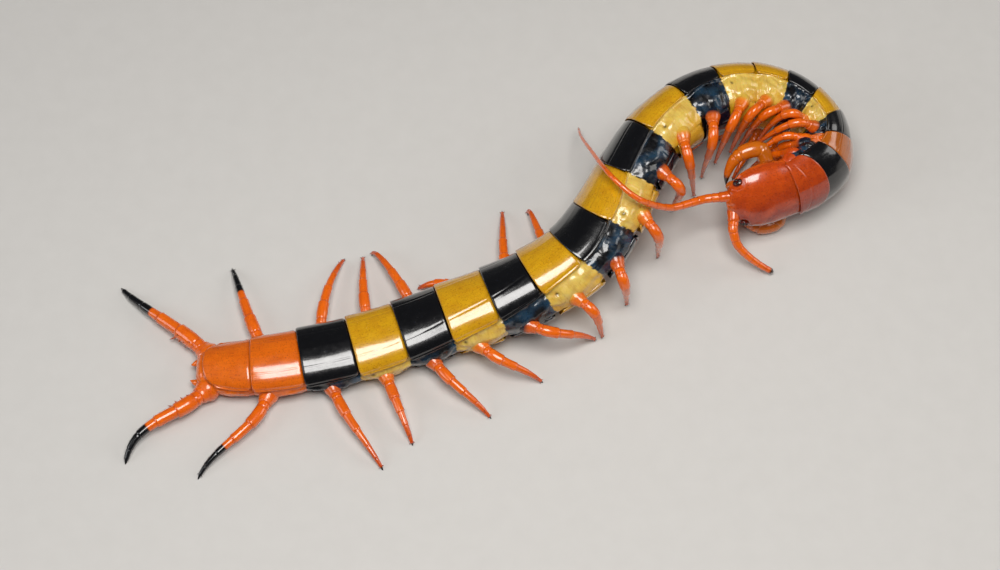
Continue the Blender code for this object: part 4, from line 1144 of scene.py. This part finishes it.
class Looks:
    """A material that is being made, with short ways to add nodes."""

    def __init__(self, name):
        self.material = bpy.data.materials.new(name)
        self.material.use_nodes = True
        self.nodes = self.material.node_tree.nodes
        self.links = self.material.node_tree.links
        self.shader = self.nodes["Principled BSDF"]
        self.place = self.nodes.new("ShaderNodeTexCoord").outputs["Object"]

    def add(self, kind, output, inputs, **settings):
        """A new node with its settings; each input is a value, or another node's output to link."""
        node = self.nodes.new("ShaderNode" + kind)
        for name, value in settings.items():
            setattr(node, name, value)
        for name, value in inputs.items():
            if isinstance(value, bpy.types.NodeSocket):
                self.links.new(value, node.inputs[name])
            else:
                node.inputs[name].default_value = value
        return node.outputs[output]

    def attribute(self, name, output):
        """A value stored on the mesh."""
        return self.add("Attribute", output, {}, attribute_name=name)

    def stretched(self, scale):
        """The place on the surface, across and along it in millimetres, with a scale for each."""
        return self.add("VectorMath", "Vector", {0: self.attribute("lie", "Vector"), 1: (*scale, 1.0)},
                        operation="MULTIPLY")

    def noise(self, scale, detail=4.0, roughness=0.55, place=None):
        """A cloudy pattern, with its scale in features a metre, or a unit of the given place."""
        return self.add("TexNoise", "Fac", {"Scale": scale, "Detail": detail, "Roughness": roughness,
                                            "Vector": place or self.place})

    def cells(self, scale):
        """Small rounded cells."""
        return self.add("TexVoronoi", "Distance", {"Scale": scale, "Vector": self.place})

    def ramp(self, value, low, high, out_low=0.0, out_high=1.0):
        """A value brought from one range to another, and kept in it."""
        return self.add("MapRange", "Result", {"Value": value, "From Min": low, "From Max": high,
                                               "To Min": out_low, "To Max": out_high})

    def mix(self, part, first, second, blend_type="MIX"):
        """Two colours combined."""
        first, second = [(*value, 1.0) if isinstance(value, tuple) else value for value in (first, second)]
        return self.add("Mix", 2, {"Factor": part, 6: first, 7: second},
                        data_type="RGBA", blend_type=blend_type)

    def bump(self, height, depth, strength, before=None):
        """A relief of the surface, its depth in millimetres, over another one if given."""
        inputs = {"Strength": strength, "Distance": depth * MM, "Height": height}
        if before:
            inputs["Normal"] = before
        return self.add("Bump", "Normal", inputs)

    def finish(self, colour, roughness, normal, coat, coat_roughness, soft=0.0):
        """Set the shader's sockets."""
        self.links.new(colour, self.shader.inputs["Base Color"])
        self.links.new(roughness, self.shader.inputs["Roughness"])
        self.links.new(normal, self.shader.inputs["Normal"])
        self.shader.inputs["Coat Weight"].default_value = coat
        self.shader.inputs["Coat Roughness"].default_value = coat_roughness
        self.shader.inputs["Subsurface Weight"].default_value = soft
        self.shader.inputs["Subsurface Radius"].default_value = (1.0, 0.4, 0.15)
        self.shader.inputs["Subsurface Scale"].default_value = 0.6 * MM
        return self.material


def shell_looks(name, speckle, clouding, gloss, streaks=0.0, coat=0.5):
    """Glossy shell: cloudy colour, dark speckles, fine long streaks, pits and faint lumps."""
    looks = Looks(name)
    colour = looks.attribute("tint", "Color")
    clouds = looks.ramp(looks.noise(420.0), 0.38, 0.68, 0.0, clouding)
    colour = looks.mix(clouds, colour, CLOUD_SHADE, "MULTIPLY")
    lines = looks.ramp(looks.noise(3.2, 3.0, 0.6, looks.stretched((1.0, 0.09))), 0.5, 0.66, 0.0, streaks)
    colour = looks.mix(lines, colour, STREAK_SHADE, "MULTIPLY")
    dots = looks.ramp(looks.noise(3300.0, 3.0, 0.7), 0.55, 0.66, 0.0, speckle)
    colour = looks.mix(dots, colour, SPECKLE_SHADE, "MULTIPLY")
    roughness = looks.ramp(looks.noise(900.0), 0.3, 0.7, gloss, gloss + 0.10)
    normal = looks.bump(looks.noise(5200.0, 3.0), 0.02, 0.35)
    normal = looks.bump(looks.cells(2600.0), 0.02, 0.25, normal)
    normal = looks.bump(looks.noise(700.0, 2.0), 0.10, 0.25, normal)
    return looks.finish(colour, roughness, normal, coat, 0.08, 0.05)


def skin_looks():
    """Soft wet skin: blotches, fine pleats, wrinkles and a strong gloss."""
    looks = Looks("soft_skin")
    colour = looks.attribute("tint", "Color")
    clouds = looks.ramp(looks.noise(480.0, 3.0), 0.42, 0.72, 0.0, 0.40)
    colour = looks.mix(clouds, colour, SKIN_CLOUD_SHADE, "MULTIPLY")
    pleats = looks.noise(3.0, 3.0, 0.6, looks.stretched((0.12, 1.0)))
    colour = looks.mix(looks.ramp(pleats, 0.5, 0.64, 0.0, 0.35), colour, PLEAT_SHADE, "MULTIPLY")
    roughness = looks.ramp(looks.noise(1500.0), 0.3, 0.7, 0.22, 0.40)
    normal = looks.bump(pleats, 0.10, 0.5)
    normal = looks.bump(looks.noise(600.0, 2.0, 0.4), 0.22, 0.4, normal)
    return looks.finish(colour, roughness, normal, 0.8, 0.10, 0.16)


def floor_looks():
    """A plain pale floor."""
    looks = Looks("pale_floor")
    grain = looks.noise(240.0, 3.0)
    colour = looks.mix(grain, *FLOOR_COLOURS)
    roughness = looks.ramp(grain, 0.0, 1.0, 0.75, 0.85)
    normal = looks.bump(looks.noise(1200.0), 0.02, 0.3)
    return looks.finish(colour, roughness, normal, 0.0, 0.5)


def make_floor():
    """A wide level floor."""
    reach = FLOOR_REACH * MM
    corners = [(x, y, 0.0) for y in (-reach, reach) for x in (-reach, reach)]
    mesh = bpy.data.meshes.new("floor")
    mesh.from_pydata(corners, [], [(0, 1, 3, 2)])
    mesh.materials.append(floor_looks())
    floor = bpy.data.objects.new("floor", mesh)
    bpy.context.scene.collection.objects.link(floor)
    floor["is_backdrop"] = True


def make_camera():
    """The camera at the photograph's angle."""
    target = -FOOTPRINT_MIDDLE * MM
    tilt = math.radians(CAMERA_ELEVATION)
    data = bpy.data.cameras.new("camera")
    data.lens = CAMERA_LENS
    data.clip_end = 10.0
    camera = bpy.data.objects.new("camera", data)
    camera.location = target + Vector((0.0, -math.cos(tilt), math.sin(tilt))) * CAMERA_DISTANCE * MM
    camera.rotation_euler = (math.pi / 2 - tilt, 0.0, 0.0)
    bpy.context.scene.collection.objects.link(camera)
    bpy.context.scene.camera = camera


def make_lights():
    """Soft studio lights, and an even pale sky."""
    for light in LIGHTS:
        data = bpy.data.lights.new(light.name, "AREA")
        data.shape = "SQUARE"
        data.size = light.size * MM
        data.energy = light.power
        data.color = light.colour
        lamp = bpy.data.objects.new(light.name, data)
        lamp.location = Vector((light.x, light.y, light.z)) * MM
        lamp.rotation_euler = lamp.location.to_track_quat("Z", "Y").to_euler()
        bpy.context.scene.collection.objects.link(lamp)
    world = bpy.data.worlds.new("sky")
    world.use_nodes = True
    background = world.node_tree.nodes["Background"]
    background.inputs["Color"].default_value = SKY_COLOUR
    background.inputs["Strength"].default_value = SKY_STRENGTH
    bpy.context.scene.world = world
    bpy.context.scene.view_settings.view_transform = "Standard"


def write_sizes():
    """Gather the frame's box and the visual model's as lists of corners."""
    boxes = {"cad": CAD_BOX, "visual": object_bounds()}
    lists = {name: [list(corner) for corner in box] for name, box in boxes.items()}


def build():
    """Make every piece of the animal."""
    shell = shell_looks("shell", 0.55, 0.30, 0.18, 0.22, 1.0)
    head_shell = shell_looks("head_shell", 0.75, 0.50, 0.20, 0.0, 1.0)
    limb = shell_looks("limb_shell", 0.30, 0.30, 0.18, 0.0, 0.8)
    dark = shell_looks("eye_shell", 0.0, 0.0, 0.08)
    skin = skin_looks()
    make_skin(skin)
    for number in range(1, SEGMENTS + 1):
        make_back_plate(number, head_shell if number == 1 else shell)
        make_belly_plate(number, shell)
    for side, legs in ((1, RIGHT_LEGS), (-1, LEFT_LEGS)):
        for number, leg in enumerate(legs, start=1):
            make_coxa(number, side, leg, skin)
            make_leg(number, side, leg, limb)
        make_antenna(side, limb)
        make_fang(side, limb)
        make_eyes(side, dark)
    make_head(head_shell)
    make_tail_processes(limb)


build()
make_floor()
make_camera()
make_lights()
write_sizes()
